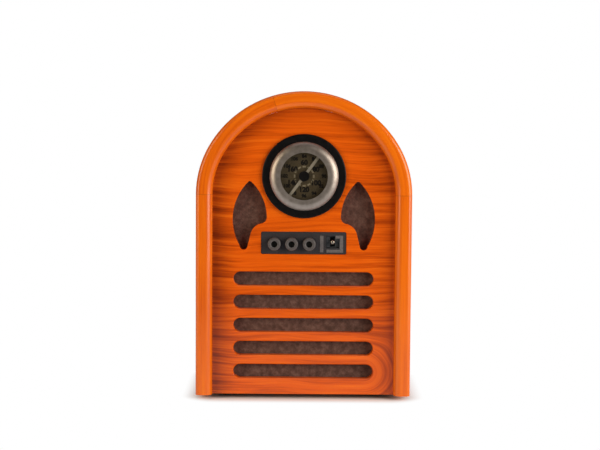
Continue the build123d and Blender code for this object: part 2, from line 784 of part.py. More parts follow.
with BuildPart() as selector_lever:
    rod(lever_radius, lever_y, lever_tip_y, selector_x, selector_z)
    with Locations((selector_x, lever_tip_y, selector_z)):
        Sphere(lever_tip_radius)
    with Locations(Location((selector_x, lever_y, selector_z), (0, 90, 0))):
        Cylinder(lever_ball_radius, lever_slot_width - 3 * fit_gap)
        Cylinder(lever_pin_radius, lever_pin_length)
keep(selector_lever, "selector_lever")

# Loudspeaker frame: pressed steel basket with four windows, screwed to the rear of the baffle
frame_y = baffle_rear_y
basket_rear_y = frame_y + basket_depth
basket_floor_y = basket_rear_y - sheet_steel
ledge_y = basket_floor_y - ledge_height
coil_outer = coil_radius + coil_wall
floor_hole = coil_outer + magnet_gap / 2
floor_radius = plate_radius + basket_floor_margin
spider_radius = floor_radius - sheet_steel
ledge_radius = spider_radius - ledge_width
with BuildPart() as speaker_frame:
    turn([
        (basket_opening, frame_y), (speaker_radius, frame_y), (speaker_radius, frame_y + sheet_steel),
        (basket_opening + sheet_steel, frame_y + sheet_steel), (floor_radius, basket_rear_y),
        (floor_hole, basket_rear_y), (floor_hole, basket_floor_y), (ledge_radius, basket_floor_y),
        (ledge_radius, ledge_y), (spider_radius + fit_gap, ledge_y),
        (basket_opening, frame_y + 2 * sheet_steel),
    ], speaker_z)
    with BuildSketch(facing(ledge_y - sheet_steel)):
        with Locations((0, speaker_z)):
            with PolarLocations(basket_opening, 4):
                Rectangle(speaker_radius - plate_radius, plate_radius)
    extrude(amount=basket_depth - ledge_height - 5 * sheet_steel, mode=Mode.SUBTRACT)
    for x, z in speaker_screw_places:
        rod(screw_radius + fit_gap, frame_y + sheet_steel, frame_y, x, z, mode=Mode.SUBTRACT)
keep(speaker_frame, "speaker_frame")

with BuildPart() as speaker_screws:
    for x, z in speaker_screw_places:
        head_y = frame_y + sheet_steel
        rod(screw_head_radius, head_y + screw_head_height, head_y, x, z)
        rod(screw_radius, head_y, speaker_screw_end, x, z)
keep(speaker_screws, "speaker_screws")

# Cone assembly: paper cone, dust cap and voice coil, which move together
neck_radius = coil_outer + running_gap
neck_y = frame_y + cone_depth
with BuildPart() as speaker_cone:
    turn([
        (cone_radius, frame_y), (cone_radius, frame_y + cone_wall),
        (neck_radius, neck_y + cone_wall), (neck_radius, neck_y),
    ], speaker_z)
keep(speaker_cone, "speaker_cone")

cap_radius = coil_outer + cap_overlap
cap_height = cap_radius / 3
cone_slope = cone_depth / (cone_radius - neck_radius)
cap_y = neck_y - cone_slope * (cap_radius - neck_radius) - cone_wall
with BuildPart() as dust_cap:
    with BuildSketch(Plane.XY.offset(speaker_z)) as cap_section:
        with BuildLine():
            dome_radius = (cap_radius**2 + cap_height**2) / (2 * cap_height)
            dome_angle = degrees(asin(cap_radius / dome_radius))
            outside = JernArc((0, cap_y - cap_height), (1, 0), dome_radius, dome_angle)
            inside_apex = (0, cap_y - cap_height + cone_wall)
            inside = JernArc(inside_apex, (1, 0), dome_radius - cone_wall, dome_angle)
            Line(outside @ 0, inside @ 0)
            Line(outside @ 1, inside @ 1)
        make_face()
    revolve(cap_section.sketch, axis=Axis((0, 0, speaker_z), (0, 1, 0)))
keep(dust_cap, "dust_cap")

with BuildPart() as voice_coil:
    coil_front_y = neck_y - cone_wall
    rod(coil_outer, coil_front_y + coil_length, coil_front_y, 0, speaker_z)
    rod(coil_radius, coil_front_y + coil_length, coil_front_y, 0, speaker_z, mode=Mode.SUBTRACT)
keep(voice_coil, "voice_coil")

# Surround: half roll of foam between the cone's edge and the frame
roll_inner = cone_radius - roll_glue_width
roll_foot = cone_radius + roll_foot_gap
roll_far_foot = basket_opening + roll_foot_gap
roll_outer = speaker_hole - fit_gap
with BuildPart() as cone_surround:
    with BuildSketch(Plane.XY.offset(speaker_z)) as roll_section:
        with BuildLine():
            middle = (roll_foot + roll_far_foot) / 2
            face_y = frame_y - roll_wall
            Polyline(
                (roll_foot, face_y), (roll_inner, face_y), (roll_inner, frame_y),
                (roll_foot + roll_wall, frame_y),
            )
            ThreePointArc(
                (roll_foot + roll_wall, frame_y), (middle, frame_y - roll_height + roll_wall),
                (roll_far_foot - roll_wall, frame_y),
            )
            Polyline(
                (roll_far_foot - roll_wall, frame_y), (roll_outer, frame_y), (roll_outer, face_y),
                (roll_far_foot, face_y),
            )
            ThreePointArc(
                (roll_far_foot, face_y), (middle, frame_y - roll_height - roll_wall), (roll_foot, face_y)
            )
        make_face()
    revolve(roll_section.sketch, axis=Axis((0, 0, speaker_z), (0, 1, 0)))
keep(cone_surround, "cone_surround")

# Spider: corrugated cloth disc that centres the voice coil
spider_wave = (ledge_radius - neck_radius) / spider_waves
with BuildPart() as spider:
    crest = [(neck_radius, ledge_y - roll_wall)]
    for wave in range(spider_waves):
        start = neck_radius + spider_wave * wave
        crest.append((start + spider_wave / 2, ledge_y - 2 * roll_wall))
        crest.append((start + spider_wave, ledge_y - roll_wall))
    crest += [(spider_radius, ledge_y - roll_wall)]
    trough = [(radius, y + roll_wall) for radius, y in reversed(crest)]
    turn(crest + trough, speaker_z)
keep(spider, "spider")

# Magnet system: front pole plate on the basket's floor, ring magnet, rear yoke with its centre pole
front_plate_y = basket_rear_y + pole_plate_thickness
magnet_y = front_plate_y + magnet_thickness
yoke_y = magnet_y + yoke_thickness
pole_radius = coil_radius - pole_gap
with BuildPart() as front_pole_plate:
    rod(plate_radius, front_plate_y, basket_rear_y, 0, speaker_z)
    rod(coil_outer + pole_gap, front_plate_y, basket_rear_y, 0, speaker_z, mode=Mode.SUBTRACT)
keep(front_pole_plate, "front_pole_plate")

with BuildPart() as magnet:
    rod(magnet_radius, magnet_y, front_plate_y, 0, speaker_z)
    rod(coil_outer + magnet_gap, magnet_y, front_plate_y, 0, speaker_z, mode=Mode.SUBTRACT)
keep(magnet, "magnet")

with BuildPart() as rear_yoke:
    rod(plate_radius, yoke_y, magnet_y, 0, speaker_z)
    rod(pole_radius, magnet_y, basket_rear_y, 0, speaker_z)
keep(rear_yoke, "rear_yoke")

# Main board on four snap-in standoffs behind the loudspeaker, with its larger components
board_low = base_top + standoff_height
board_top = board_low + board_thickness
board_rear_y = rear_inner_y - cleat_size - board_setback
board_front_y = board_rear_y - board_depth
board_hole = standoff_radius / 2
standoff_places = [
    (x, y)
    for x in (-board_width / 2 + standoff_inset, board_width / 2 - standoff_inset)
    for y in (board_front_y + standoff_inset, board_rear_y - standoff_inset)
]
with BuildPart() as main_board:
    slab((-board_width / 2, board_front_y, board_low), (board_width / 2, board_rear_y, board_top))
    for x, y in standoff_places:
        peg(board_hole, board_low, board_top, x, y, mode=Mode.SUBTRACT)
keep(main_board, "main_board")

with BuildPart() as board_standoffs:
    for x, y in standoff_places:
        peg(standoff_radius, base_top, board_low, x, y)
        peg(board_hole - running_gap, board_low, board_top + standoff_snap, x, y)
keep(board_standoffs, "board_standoffs")

board_middle_y = (board_front_y + board_rear_y) / 2
with BuildPart() as tuner_can:
    with Locations((-board_width / 4, board_middle_y, board_top)):
        Box(*can_size, align=(Align.CENTER, Align.CENTER, Align.MIN))
keep(tuner_can, "tuner_can")

with BuildPart() as board_capacitors:
    for step in (-1, 0, 1):
        x = board_width / 4 + electrolytic_pitch * step
        peg(electrolytic_radius, board_top, board_top + electrolytic_height, x, board_middle_y)
keep(board_capacitors, "board_capacitors")

# Rear panel: painted board with a row of vent slots, screwed to the rear cleats
screw_sink = screw_head_height + fit_gap
rod_y = rear_inner_y - rod_setback
with BuildPart() as rear_panel:
    with BuildSketch(facing(rear_outer_y)):
        draw_arch(wall + fit_gap, foot_height)
        with Locations((0, vent_z)):
            with GridLocations(vent_pitch, vent_pitch, vent_count, 1):
                SlotOverall(vent_length, vent_width, rotation=90, mode=Mode.SUBTRACT)
        with Locations((inlet_x, inlet_z)):
            Circle(inlet_radius + fit_gap, mode=Mode.SUBTRACT)
    extrude(amount=rear_thickness)
    for x, z in rear_screw_places:
        rod(screw_radius + fit_gap, rear_outer_y, rear_inner_y, x, z, mode=Mode.SUBTRACT)
        rod(screw_head_radius + fit_gap, rear_outer_y, rear_outer_y - screw_sink, x, z, mode=Mode.SUBTRACT)
keep(rear_panel, "rear_panel")

with BuildPart() as rear_screws:
    for x, z in rear_screw_places:
        seat_y = rear_outer_y - screw_sink
        rod(screw_head_radius, seat_y + screw_head_height, seat_y, x, z)
        rod(screw_radius, seat_y, rear_screw_end, x, z)
keep(rear_screws, "rear_screws")

# Power inlet: socket with a centre pin, through the rear panel and held by a nut inside
inlet_flange_radius = inlet_radius + inlet_rim
inlet_bore = inlet_radius - inlet_wall
with BuildPart() as dc_inlet:
    inlet_mouth_y = rear_outer_y + inlet_flange
    inlet_end_y = rear_outer_y - inlet_length
    bore_end_y = inlet_mouth_y - inlet_bore_depth
    rod(inlet_flange_radius, inlet_mouth_y, rear_outer_y, inlet_x, inlet_z)
    rod(inlet_radius, rear_outer_y, inlet_end_y, inlet_x, inlet_z)
    rod(inlet_bore, inlet_mouth_y, bore_end_y, inlet_x, inlet_z, mode=Mode.SUBTRACT)
    rod(inlet_pin_radius, inlet_mouth_y - inlet_flange, bore_end_y, inlet_x, inlet_z)
keep(dc_inlet, "dc_inlet")

with BuildPart() as inlet_nut:
    hexagon_bar(inlet_nut_flats, rear_inner_y, rear_inner_y - inlet_nut_thickness, inlet_x, inlet_z)
    nut_end_y = rear_inner_y - inlet_nut_thickness
    rod(inlet_radius + running_gap, rear_inner_y, nut_end_y, inlet_x, inlet_z, mode=Mode.SUBTRACT)
keep(inlet_nut, "inlet_nut")

# Ferrite aerial: rod with its coil, in two moulded holders on the inside of the rear panel
with BuildPart() as aerial_holders:
    for x in (-holder_x, holder_x):
        reach = rod_radius + holder_wall
        slab(
            (x - holder_width / 2, rod_y - reach, rod_z - reach),
            (x + holder_width / 2, rear_inner_y, rod_z + reach),
        )
        with Locations(Location((x, rod_y, rod_z), (0, 90, 0))):
            Cylinder(rod_radius + running_gap, holder_width, mode=Mode.SUBTRACT)
keep(aerial_holders, "aerial_holders")

with BuildPart() as aerial_rod:
    with Locations(Location((0, rod_y, rod_z), (0, 90, 0))):
        Cylinder(rod_radius, rod_length)
keep(aerial_rod, "aerial_rod")

with BuildPart() as aerial_coil:
    with Locations(Location((0, rod_y, rod_z), (0, 90, 0))):
        Cylinder(rod_radius + coil_sleeve_wall, coil_sleeve_length)
        Cylinder(rod_radius + running_gap, coil_sleeve_length, mode=Mode.SUBTRACT)
keep(aerial_coil, "aerial_coil")
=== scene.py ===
import math

import bmesh
import bpy
from mathutils import Matrix, Quaternion, Vector


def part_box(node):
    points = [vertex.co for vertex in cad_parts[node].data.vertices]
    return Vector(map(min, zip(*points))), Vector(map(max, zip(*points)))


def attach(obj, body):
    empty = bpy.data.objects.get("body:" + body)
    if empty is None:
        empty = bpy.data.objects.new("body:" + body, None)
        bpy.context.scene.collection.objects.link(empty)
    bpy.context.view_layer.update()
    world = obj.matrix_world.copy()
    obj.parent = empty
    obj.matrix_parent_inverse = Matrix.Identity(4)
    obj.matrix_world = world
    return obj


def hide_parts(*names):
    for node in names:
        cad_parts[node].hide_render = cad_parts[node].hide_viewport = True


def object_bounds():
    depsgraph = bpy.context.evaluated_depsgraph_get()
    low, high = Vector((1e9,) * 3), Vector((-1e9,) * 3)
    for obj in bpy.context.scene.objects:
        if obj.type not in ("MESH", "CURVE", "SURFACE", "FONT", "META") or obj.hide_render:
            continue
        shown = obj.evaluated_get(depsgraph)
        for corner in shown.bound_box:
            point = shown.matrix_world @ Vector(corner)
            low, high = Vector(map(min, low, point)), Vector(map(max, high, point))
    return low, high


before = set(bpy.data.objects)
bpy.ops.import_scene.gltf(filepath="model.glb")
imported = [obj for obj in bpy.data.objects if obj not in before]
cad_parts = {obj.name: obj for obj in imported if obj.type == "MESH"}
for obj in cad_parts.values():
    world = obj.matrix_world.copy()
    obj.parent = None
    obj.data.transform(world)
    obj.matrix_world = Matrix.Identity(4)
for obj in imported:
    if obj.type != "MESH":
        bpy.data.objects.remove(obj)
cad_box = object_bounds()

# Cabinet shell: beech laminations bent over a former, with the crown and the straight sides glued up
# from separate lengths, so butt seams show at the springing lines and left of the top.
# Stained orange through the grain and finished with sprayed lacquer, rubbed to a soft gloss.
mm = 0.001
shell_low, shell_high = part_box("cabinet_shell")
arch_rise = 100.4 * mm
spring_z = shell_high.z - arch_rise
mean_arch = 98.0 * mm
crown_turn = 1.883  # radians round the arch from the springing line on the right
crown_seam = crown_turn * mean_arch
left_seam = math.pi * mean_arch
seam_half = 0.35 * mm
seam_tone = 0.35
next_length = 3.7  # metres along the grain to the pattern of the next glued length
shell_grain = 2.6 * mm
shell_grain_run = 110.0 * mm
shell_cloud = 30.0 * mm
shell_cloud_run = 150.0 * mm
cloud_share = 0.4


def linear(hex_colour):
    """sRGB hex value as the linear colour that a shader socket takes."""
    channels = [int(hex_colour[i:i + 2], 16) / 255 for i in (0, 2, 4)]
    return tuple(c / 12.92 if c <= 0.04045 else ((c + 0.055) / 1.055) ** 2.4 for c in channels) + (1.0,)


def add(tree, kind, inputs=None, stops=None, **settings):
    """Add a shader node with its settings. A node or a socket given as an input is linked to it, any
    other value is set on it, and stops are a colour ramp's places and hex colours."""
    node = tree.nodes.new("ShaderNode" + kind)
    for name, value in settings.items():
        setattr(node, name, value)
    for key, value in (inputs or {}).items():
        if isinstance(value, bpy.types.Node):
            value = value.outputs[0]
        if isinstance(value, bpy.types.NodeSocket):
            tree.links.new(value, node.inputs[key])
        else:
            node.inputs[key].default_value = value
    if stops:
        ramp = node.color_ramp.elements
        while len(ramp) < len(stops):
            ramp.new(0.5)
        for element, (place, colour) in zip(ramp, stops):
            element.position = place
            element.color = linear(colour)
    return node


def new_material(name):
    """Empty node material and its tree."""
    material = bpy.data.materials.new(name)
    material.use_nodes = True
    material.node_tree.nodes.clear()
    return material, material.node_tree


def dress(material, *names):
    """Give CAD nodes this material."""
    for name in names:
        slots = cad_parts[name].data.materials
        slots.clear()
        slots.append(material)


# Lacquered beech: long fine streaks that follow the bend, cloudy stain, a thin dark line at each seam
# and a soft gloss from the lacquer.
lacquered_beech, tree = new_material("stained_beech_gloss_lacquer")
place = add(tree, "TexCoord")
spot = add(tree, "SeparateXYZ", {0: place.outputs["Object"]})
above = add(tree, "Math", {0: spot.outputs["Z"], 1: spring_z}, operation="SUBTRACT")
arch_up = add(tree, "Math", {0: above, 1: 0.0}, operation="MAXIMUM")
straight = add(tree, "Math", {0: above, 1: 0.0}, operation="MINIMUM")
spoke = add(tree, "CombineXYZ", {"X": spot.outputs["X"], "Z": arch_up})
radius = add(tree, "VectorMath", {0: spoke}, operation="LENGTH")
angle = add(tree, "Math", {0: arch_up, 1: spot.outputs["X"]}, operation="ARCTAN2")
arc = add(tree, "Math", {0: angle, 1: mean_arch}, operation="MULTIPLY")
side = add(tree, "Math", {0: spot.outputs["X"]}, operation="SIGN")
run = add(tree, "Math", {0: side, 1: straight, 2: arc}, operation="MULTIPLY_ADD")
past_crown = add(tree, "Math", {0: run, 1: crown_seam}, operation="GREATER_THAN")
past_left = add(tree, "Math", {0: run, 1: left_seam}, operation="GREATER_THAN")
past_right = add(tree, "Math", {0: run, 1: 0.0}, operation="GREATER_THAN")
pieces = add(tree, "Math", {0: past_crown, 1: past_left}, operation="ADD")
pieces = add(tree, "Math", {0: pieces, 1: past_right}, operation="ADD")
length = add(tree, "Math", {0: pieces, 1: next_length, 2: run}, operation="MULTIPLY_ADD")
laid = add(tree, "CombineXYZ", {
    "X": radius.outputs["Value"], "Y": spot.outputs["Y"], "Z": length})
fine = add(tree, "VectorMath", {
    0: laid, 1: (1 / shell_grain, 1 / shell_grain, 1 / shell_grain_run)}, operation="MULTIPLY")
streak = add(tree, "TexNoise", {"Vector": fine, "Scale": 1.0, "Detail": 5.0, "Roughness": 0.62})
broad = add(tree, "VectorMath", {
    0: laid, 1: (1 / shell_cloud, 1 / shell_cloud, 1 / shell_cloud_run)}, operation="MULTIPLY")
cloud = add(tree, "TexNoise", {"Vector": broad, "Scale": 1.0, "Detail": 2.0})
figure = add(tree, "Mix", {0: cloud_share, 2: streak, 3: cloud})
stain = add(tree, "ValToRGB", {"Fac": figure}, stops=[
    (0.32, "B84800"), (0.45, "CE5B00"), (0.56, "D96600"), (0.72, "E07607")])
seams = None
for seam_place in (0.0, crown_seam, left_seam):
    seam = add(tree, "Math", {0: run, 1: seam_place, 2: seam_half}, operation="COMPARE")
    seams = seam if seams is None else add(tree, "Math", {0: seams, 1: seam}, operation="ADD")
seam_shade = add(tree, "Math", {0: seams, 1: seam_tone}, operation="MULTIPLY")
wood = add(tree, "Mix", {"Factor": seam_shade, 6: stain, 7: linear("6E2A04")}, data_type="RGBA")
polish = add(tree, "MapRange", {"Value": streak, "To Min": 0.2, "To Max": 0.3})
pores = add(tree, "Bump", {"Height": streak, "Strength": 0.12, "Distance": 0.1 * mm})
shader = add(tree, "BsdfPrincipled", {
    "Base Color": wood.outputs[2], "Roughness": polish, "Normal": pores, "Specular IOR Level": 0.4})
add(tree, "OutputMaterial", {"Surface": shader})
dress(lacquered_beech, "cabinet_shell")

# Base board and cleats: planed softwood, left bare inside the cabinet. The base is glued between the
# sides, and the four cleats are glued up them for the two panels to be fixed to.
pine_grain = 4.0 * mm
pine_grain_run = 50.0 * mm
# Planed pine: pale and dull, with long soft streaks and a faint ribbed feel left by the plane.
planed_pine, tree = new_material("planed_pine_bare")
place = add(tree, "TexCoord")
stretched = add(tree, "VectorMath", {
    0: place.outputs["Object"], 1: (1 / pine_grain_run, 1 / pine_grain, 1 / pine_grain)},
    operation="MULTIPLY")
streak = add(tree, "TexNoise", {"Vector": stretched, "Scale": 1.0, "Detail": 4.0, "Roughness": 0.6})
pine = add(tree, "ValToRGB", {"Fac": streak}, stops=[(0.35, "A97B4A"), (0.5, "C79A66"), (0.65, "D8B27F")])
fibres = add(tree, "Bump", {"Height": streak, "Strength": 0.2, "Distance": 0.15 * mm})
shader = add(tree, "BsdfPrincipled", {"Base Color": pine, "Roughness": 0.7, "Normal": fibres})
add(tree, "OutputMaterial", {"Surface": shader})
dress(planed_pine, "base_board", "cleats")

# Feet and the screws that hold them: moulded black rubber pads, dull with a fine mould grain, and
# zinc-plated steel screws, pale and slightly blue, with cloudy plating.
rubber_grain = 0.8 * mm
plating_cloud = 2.0 * mm


def mottled(name, dark, light, grain, rough, relief, sockets=None):
    """Moulded, cast or plated stuff: two close tones, gloss and a shallow relief from one grain size.
    Grain finer than about half a millimetre would not show, so none is drawn finer than that."""
    material, tree = new_material(name)
    place = add(tree, "TexCoord")
    grit = add(tree, "TexNoise", {
        "Vector": place.outputs["Object"], "Scale": 1 / grain, "Detail": 3.0, "Roughness": 0.55})
    tone = add(tree, "ValToRGB", {"Fac": grit}, stops=[(0.35, dark), (0.65, light)])
    gloss = add(tree, "MapRange", {"Value": grit, "To Min": rough[0], "To Max": rough[1]})
    texture = add(tree, "Bump", {"Height": grit, "Strength": 0.3, "Distance": relief})
    inputs = {"Base Color": tone, "Roughness": gloss, "Normal": texture, **(sockets or {})}
    shader = add(tree, "BsdfPrincipled", inputs)
    add(tree, "OutputMaterial", {"Surface": shader})
    return material


rubber = mottled("moulded_black_rubber", "0C0C0C", "171615", rubber_grain, (0.6, 0.8), 0.05 * mm)
zinc_steel = mottled(
    "zinc_plated_steel", "8E9299", "B4B7BA", plating_cloud, (0.28, 0.42), 0.02 * mm, {"Metallic": 1.0})
dress(rubber, "feet")
dress(zinc_steel, "foot_screws")

# Front panel: veneered board, glued behind the shell's rim. The veneer's grain lies across, with one
# flowing crown of rings low on the right. Stained darker towards the rim, with painted shade from the
# rim added on top of the stain, then lacquered.
panel_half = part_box("front_panel")[1].x
crown_x = 60.0 * mm
crown_z = 28.5 * mm
crown_fade = (39.5 * mm, 73.5 * mm)
quiet_middle = (25.0 * mm, 80.0 * mm)
quiet_contrast = 0.65
quiet_tone = 0.54
veneer_streak = 5.0 * mm
veneer_run = 120.0 * mm
veneer_fibre = 1.5 * mm
veneer_fibre_run = 50.0 * mm
fibre_share = 0.3
veneer_drift = 90.0 * mm
drift_reach = 9.0 * mm
rim_shade = 30.0 * mm
streak_span = (0.35, 0.65)
streak_shade = (1.0, 0.42)
left_shade, right_shade = 0.9, 0.2
# Lacquered veneer: streaks and fine fibres that run across the panel and bend round the crown, quieter
# in the middle, browner towards the rim and most of all at the left, under a soft gloss. That browning
# is partly stain and partly painted shade from the rim.
veneer, tree = new_material("stained_walnut_veneer_gloss_lacquer")
place = add(tree, "TexCoord")
spot = add(tree, "SeparateXYZ", {0: place.outputs["Object"]})
wander = add(tree, "TexNoise", {
    "Vector": place.outputs["Object"], "Scale": 1 / veneer_drift, "Detail": 1.5, "Roughness": 0.4})
drift = add(tree, "MapRange", {"Value": wander, "To Min": -drift_reach, "To Max": drift_reach})
height = add(tree, "Math", {0: spot.outputs["Z"], 1: drift}, operation="ADD")
out_x = add(tree, "Math", {0: spot.outputs["X"], 1: crown_x}, operation="SUBTRACT")
out_x = add(tree, "Math", {0: out_x, 1: 0.0}, operation="MAXIMUM")
out_z = add(tree, "Math", {0: height, 1: crown_z}, operation="SUBTRACT")
out = add(tree, "CombineXYZ", {"X": out_x, "Z": out_z})
ring = add(tree, "VectorMath", {0: out}, operation="LENGTH")
ring_height = add(tree, "Math", {0: ring.outputs["Value"], 1: crown_z}, operation="ADD")
upper = add(tree, "MapRange", {
    "Value": spot.outputs["Z"], "From Min": crown_fade[0], "From Max": crown_fade[1]},
    interpolation_type="SMOOTHSTEP")
line = add(tree, "Mix", {0: upper.outputs[0], 2: ring_height, 3: height})
laid = add(tree, "CombineXYZ", {"X": spot.outputs["X"], "Y": spot.outputs["Y"], "Z": line})
long = add(tree, "VectorMath", {
    0: laid, 1: (1 / veneer_run, 0.0, 1 / veneer_streak)}, operation="MULTIPLY")
streak = add(tree, "TexNoise", {"Vector": long, "Scale": 1.0, "Detail": 4.0, "Roughness": 0.6})
close = add(tree, "VectorMath", {
    0: laid, 1: (1 / veneer_fibre_run, 0.0, 1 / veneer_fibre)}, operation="MULTIPLY")
fibre = add(tree, "TexNoise", {"Vector": close, "Scale": 1.0, "Detail": 3.0, "Roughness": 0.6})
figure = add(tree, "Mix", {0: fibre_share, 2: streak, 3: fibre})
sideways = add(tree, "Math", {0: spot.outputs["X"]}, operation="ABSOLUTE")
contrast = add(tree, "MapRange", {
    "Value": sideways, "From Min": quiet_middle[0], "From Max": quiet_middle[1],
    "To Min": quiet_contrast, "To Max": 1.0}, interpolation_type="SMOOTHSTEP")
figure = add(tree, "Mix", {0: contrast.outputs[0], 2: quiet_tone, 3: figure})
stain = add(tree, "ValToRGB", {"Fac": figure}, stops=[
    (0.34, "923402"), (0.43, "B04402"), (0.52, "CE5404"), (0.66, "DC660C")])
arch_up = add(tree, "Math", {0: spot.outputs["Z"], 1: spring_z}, operation="SUBTRACT")
arch_up = add(tree, "Math", {0: arch_up, 1: 0.0}, operation="MAXIMUM")
spoke = add(tree, "CombineXYZ", {"X": spot.outputs["X"], "Z": arch_up})
radius = add(tree, "VectorMath", {0: spoke}, operation="LENGTH")
# Painted shade: on top of the stain's burst, the veneer is darkened near the rim, most at the left, for the
# shade the rim casts.
rim_burst_and_shade = add(tree, "MapRange", {
    "Value": radius.outputs["Value"], "From Min": panel_half - rim_shade, "From Max": panel_half},
    interpolation_type="SMOOTHSTEP")
streaky = add(tree, "MapRange", {
    "Value": figure, "From Min": streak_span[0], "From Max": streak_span[1],
    "To Min": streak_shade[0], "To Max": streak_shade[1]})
shade = add(tree, "Math", {0: rim_burst_and_shade.outputs[0], 1: streaky.outputs[0]}, operation="MULTIPLY")
left_more = add(tree, "MapRange", {
    "Value": spot.outputs["X"], "From Min": -panel_half, "From Max": panel_half,
    "To Min": left_shade, "To Max": right_shade})
shade = add(tree, "Math", {0: shade, 1: left_more}, operation="MULTIPLY")
wood = add(tree, "Mix", {"Factor": shade, 6: stain, 7: linear("5E1E02")}, data_type="RGBA")
polish = add(tree, "MapRange", {"Value": fibre, "To Min": 0.16, "To Max": 0.26})
pores = add(tree, "Bump", {"Height": fibre, "Strength": 0.1, "Distance": 0.08 * mm})
shader = add(tree, "BsdfPrincipled", {
    "Base Color": wood.outputs[2], "Roughness": polish, "Normal": pores, "Specular IOR Level": 0.29})
add(tree, "OutputMaterial", {"Surface": shader})
dress(veneer, "front_panel")

# Loudspeaker cloth: plain-woven brown cotton and rayon, cut in three patches, stretched flat and glued
# to the back of the panel behind the slots and behind each leaf.
cloth_pitch = 1.5 * mm  # about twice the real thread spacing, so that the weave shows at all
weave_share = 0.1
cloth_blot = 6.0 * mm
cloth_slack = 0.06 * mm
cloth_ripple = (9.0 * mm, 7.0 * mm)
cloth_step = 2.0 * mm
cloth_weld = 0.01 * mm
facing_front = -0.9
# Woven cotton: dull, with threads crossing over and under, and a faint cloudy shade from the dyeing.
grille_fabric, tree = new_material("plain_woven_brown_cotton")
place = add(tree, "TexCoord")
spot = add(tree, "SeparateXYZ", {0: place.outputs["Object"]})
threads = []
for axis in ("X", "Z"):
    turns = add(tree, "Math", {0: spot.outputs[axis], 1: math.tau / cloth_pitch}, operation="MULTIPLY")
    threads.append(add(tree, "Math", {0: turns}, operation="SINE"))
weave = add(tree, "Math", {0: threads[0], 1: threads[1]}, operation="MULTIPLY")
blot = add(tree, "TexNoise", {
    "Vector": place.outputs["Object"], "Scale": 1 / cloth_blot, "Detail": 4.0, "Roughness": 0.7})
dye = add(tree, "Math", {0: weave, 1: weave_share, 2: blot}, operation="MULTIPLY_ADD")
tone = add(tree, "ValToRGB", {"Fac": dye}, stops=[(0.3, "3D2A24"), (0.5, "553D36"), (0.72, "6D534B")])
thread_relief = add(tree, "Bump", {"Height": weave, "Strength": 0.5, "Distance": 0.25 * mm})
shader = add(tree, "BsdfPrincipled", {
    "Base Color": tone, "Roughness": 0.85, "Normal": thread_relief, "Specular IOR Level": 0.2,
    "Sheen Weight": 0.25, "Sheen Roughness": 0.5, "Sheen Tint": linear("8A6A58")})
add(tree, "OutputMaterial", {"Surface": shader})


def new_piece(name, mesh, material, body, smooth=True):
    """Object from a bmesh, with its material, riding on a body."""
    data = bpy.data.meshes.new(name)
    mesh.to_mesh(data)
    mesh.free()
    data.materials.append(material)
    for face in data.polygons:
        face.use_smooth = smooth
    piece = bpy.data.objects.new(name, data)
    bpy.context.scene.collection.objects.link(piece)
    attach(piece, body)
    return piece


def cloth_patch(node):
    """Cloth cut to the front outline of a CAD patch, cut up finely and lying a hair uneven."""
    low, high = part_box(node)
    mesh = bmesh.new()
    mesh.from_mesh(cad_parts[node].data)
    spare = [face for face in mesh.faces if face.normal.y > facing_front]
    bmesh.ops.delete(mesh, geom=spare, context="FACES")
    bmesh.ops.remove_doubles(mesh, verts=mesh.verts, dist=cloth_weld)
    for axis, direction in ((0, (1, 0, 0)), (2, (0, 0, 1))):
        for step in range(1, int((high[axis] - low[axis]) / cloth_step)):
            cut = low.copy()
            cut[axis] += step * cloth_step
            bmesh.ops.bisect_plane(
                mesh, geom=mesh.verts[:] + mesh.edges[:] + mesh.faces[:], plane_co=cut, plane_no=direction)
    for vert in mesh.verts:
        ripple = math.sin(vert.co.x / cloth_ripple[0]) * math.sin(vert.co.z / cloth_ripple[1])
        vert.co.y = (low.y + high.y) / 2 + cloth_slack * ripple
    area = sum(face.calc_area() for face in mesh.faces)
    piece = new_piece(node + "_weave", mesh, grille_fabric, "cabinet")
    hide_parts(node)


for node in ("grille_cloth", "leaf_cloth_left", "leaf_cloth_right"):
    cloth_patch(node)

# Baffle and its screws: a softwood board left bare, sawn out round the loudspeaker and screwed behind
# the panel with plated screws.
dress(planed_pine, "speaker_baffle")
dress(zinc_steel, "baffle_screws")

# Dial flange: black phenolic moulding that stands on the panel and goes through it, with a nut behind.
# Polished in the mould, so it is deep black with soft reflections and a trace of flow marks.
phenolic = mottled(
    "moulded_black_phenolic", "030304", "080708", 3.0 * mm, (0.36, 0.5), 0.01 * mm,
    {"Specular IOR Level": 0.15})
dress(phenolic, "dial_flange", "flange_nut")

# Tuning ring: aluminium turned on a lathe and left satin. Fine turning rings run round it, and they
# draw the light out into a soft band on its rounded rim. A plated steel retainer holds it from behind.
ring_low, ring_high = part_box("tuning_ring")
dial_centre = Vector(((ring_low.x + ring_high.x) / 2, 0.0, (ring_low.z + ring_high.z) / 2))
turning_pitch = 0.9 * mm  # several times the real feed, so that the lathe marks show at all
metal_cloud = 4.0 * mm
turned, tree = new_material("lathe_turned_satin_aluminium")
place = add(tree, "TexCoord")
from_axis = add(tree, "VectorMath", {0: place.outputs["Object"], 1: dial_centre}, operation="SUBTRACT")
flat = add(tree, "VectorMath", {0: from_axis, 1: (1.0, 0.0, 1.0)}, operation="MULTIPLY")
radius = add(tree, "VectorMath", {0: flat}, operation="LENGTH")
turns = add(tree, "Math", {0: radius.outputs["Value"], 1: math.tau / turning_pitch}, operation="MULTIPLY")
groove = add(tree, "Math", {0: turns}, operation="SINE")
cloud = add(tree, "TexNoise", {"Vector": place.outputs["Object"], "Scale": 1 / metal_cloud, "Detail": 3.0})
metal = add(tree, "ValToRGB", {"Fac": cloud}, stops=[(0.3, "8A817A"), (0.7, "9C938C")])
gloss = add(tree, "MapRange", {"Value": cloud, "To Min": 0.4, "To Max": 0.48})
marks = add(tree, "Bump", {"Height": groove, "Strength": 0.08, "Distance": 0.05 * mm})
shader = add(tree, "BsdfPrincipled", {
    "Base Color": metal, "Metallic": 1.0, "Roughness": gloss, "Normal": marks})
add(tree, "OutputMaterial", {"Surface": shader})
dress(turned, "tuning_ring")
dress(zinc_steel, "ring_retainer")

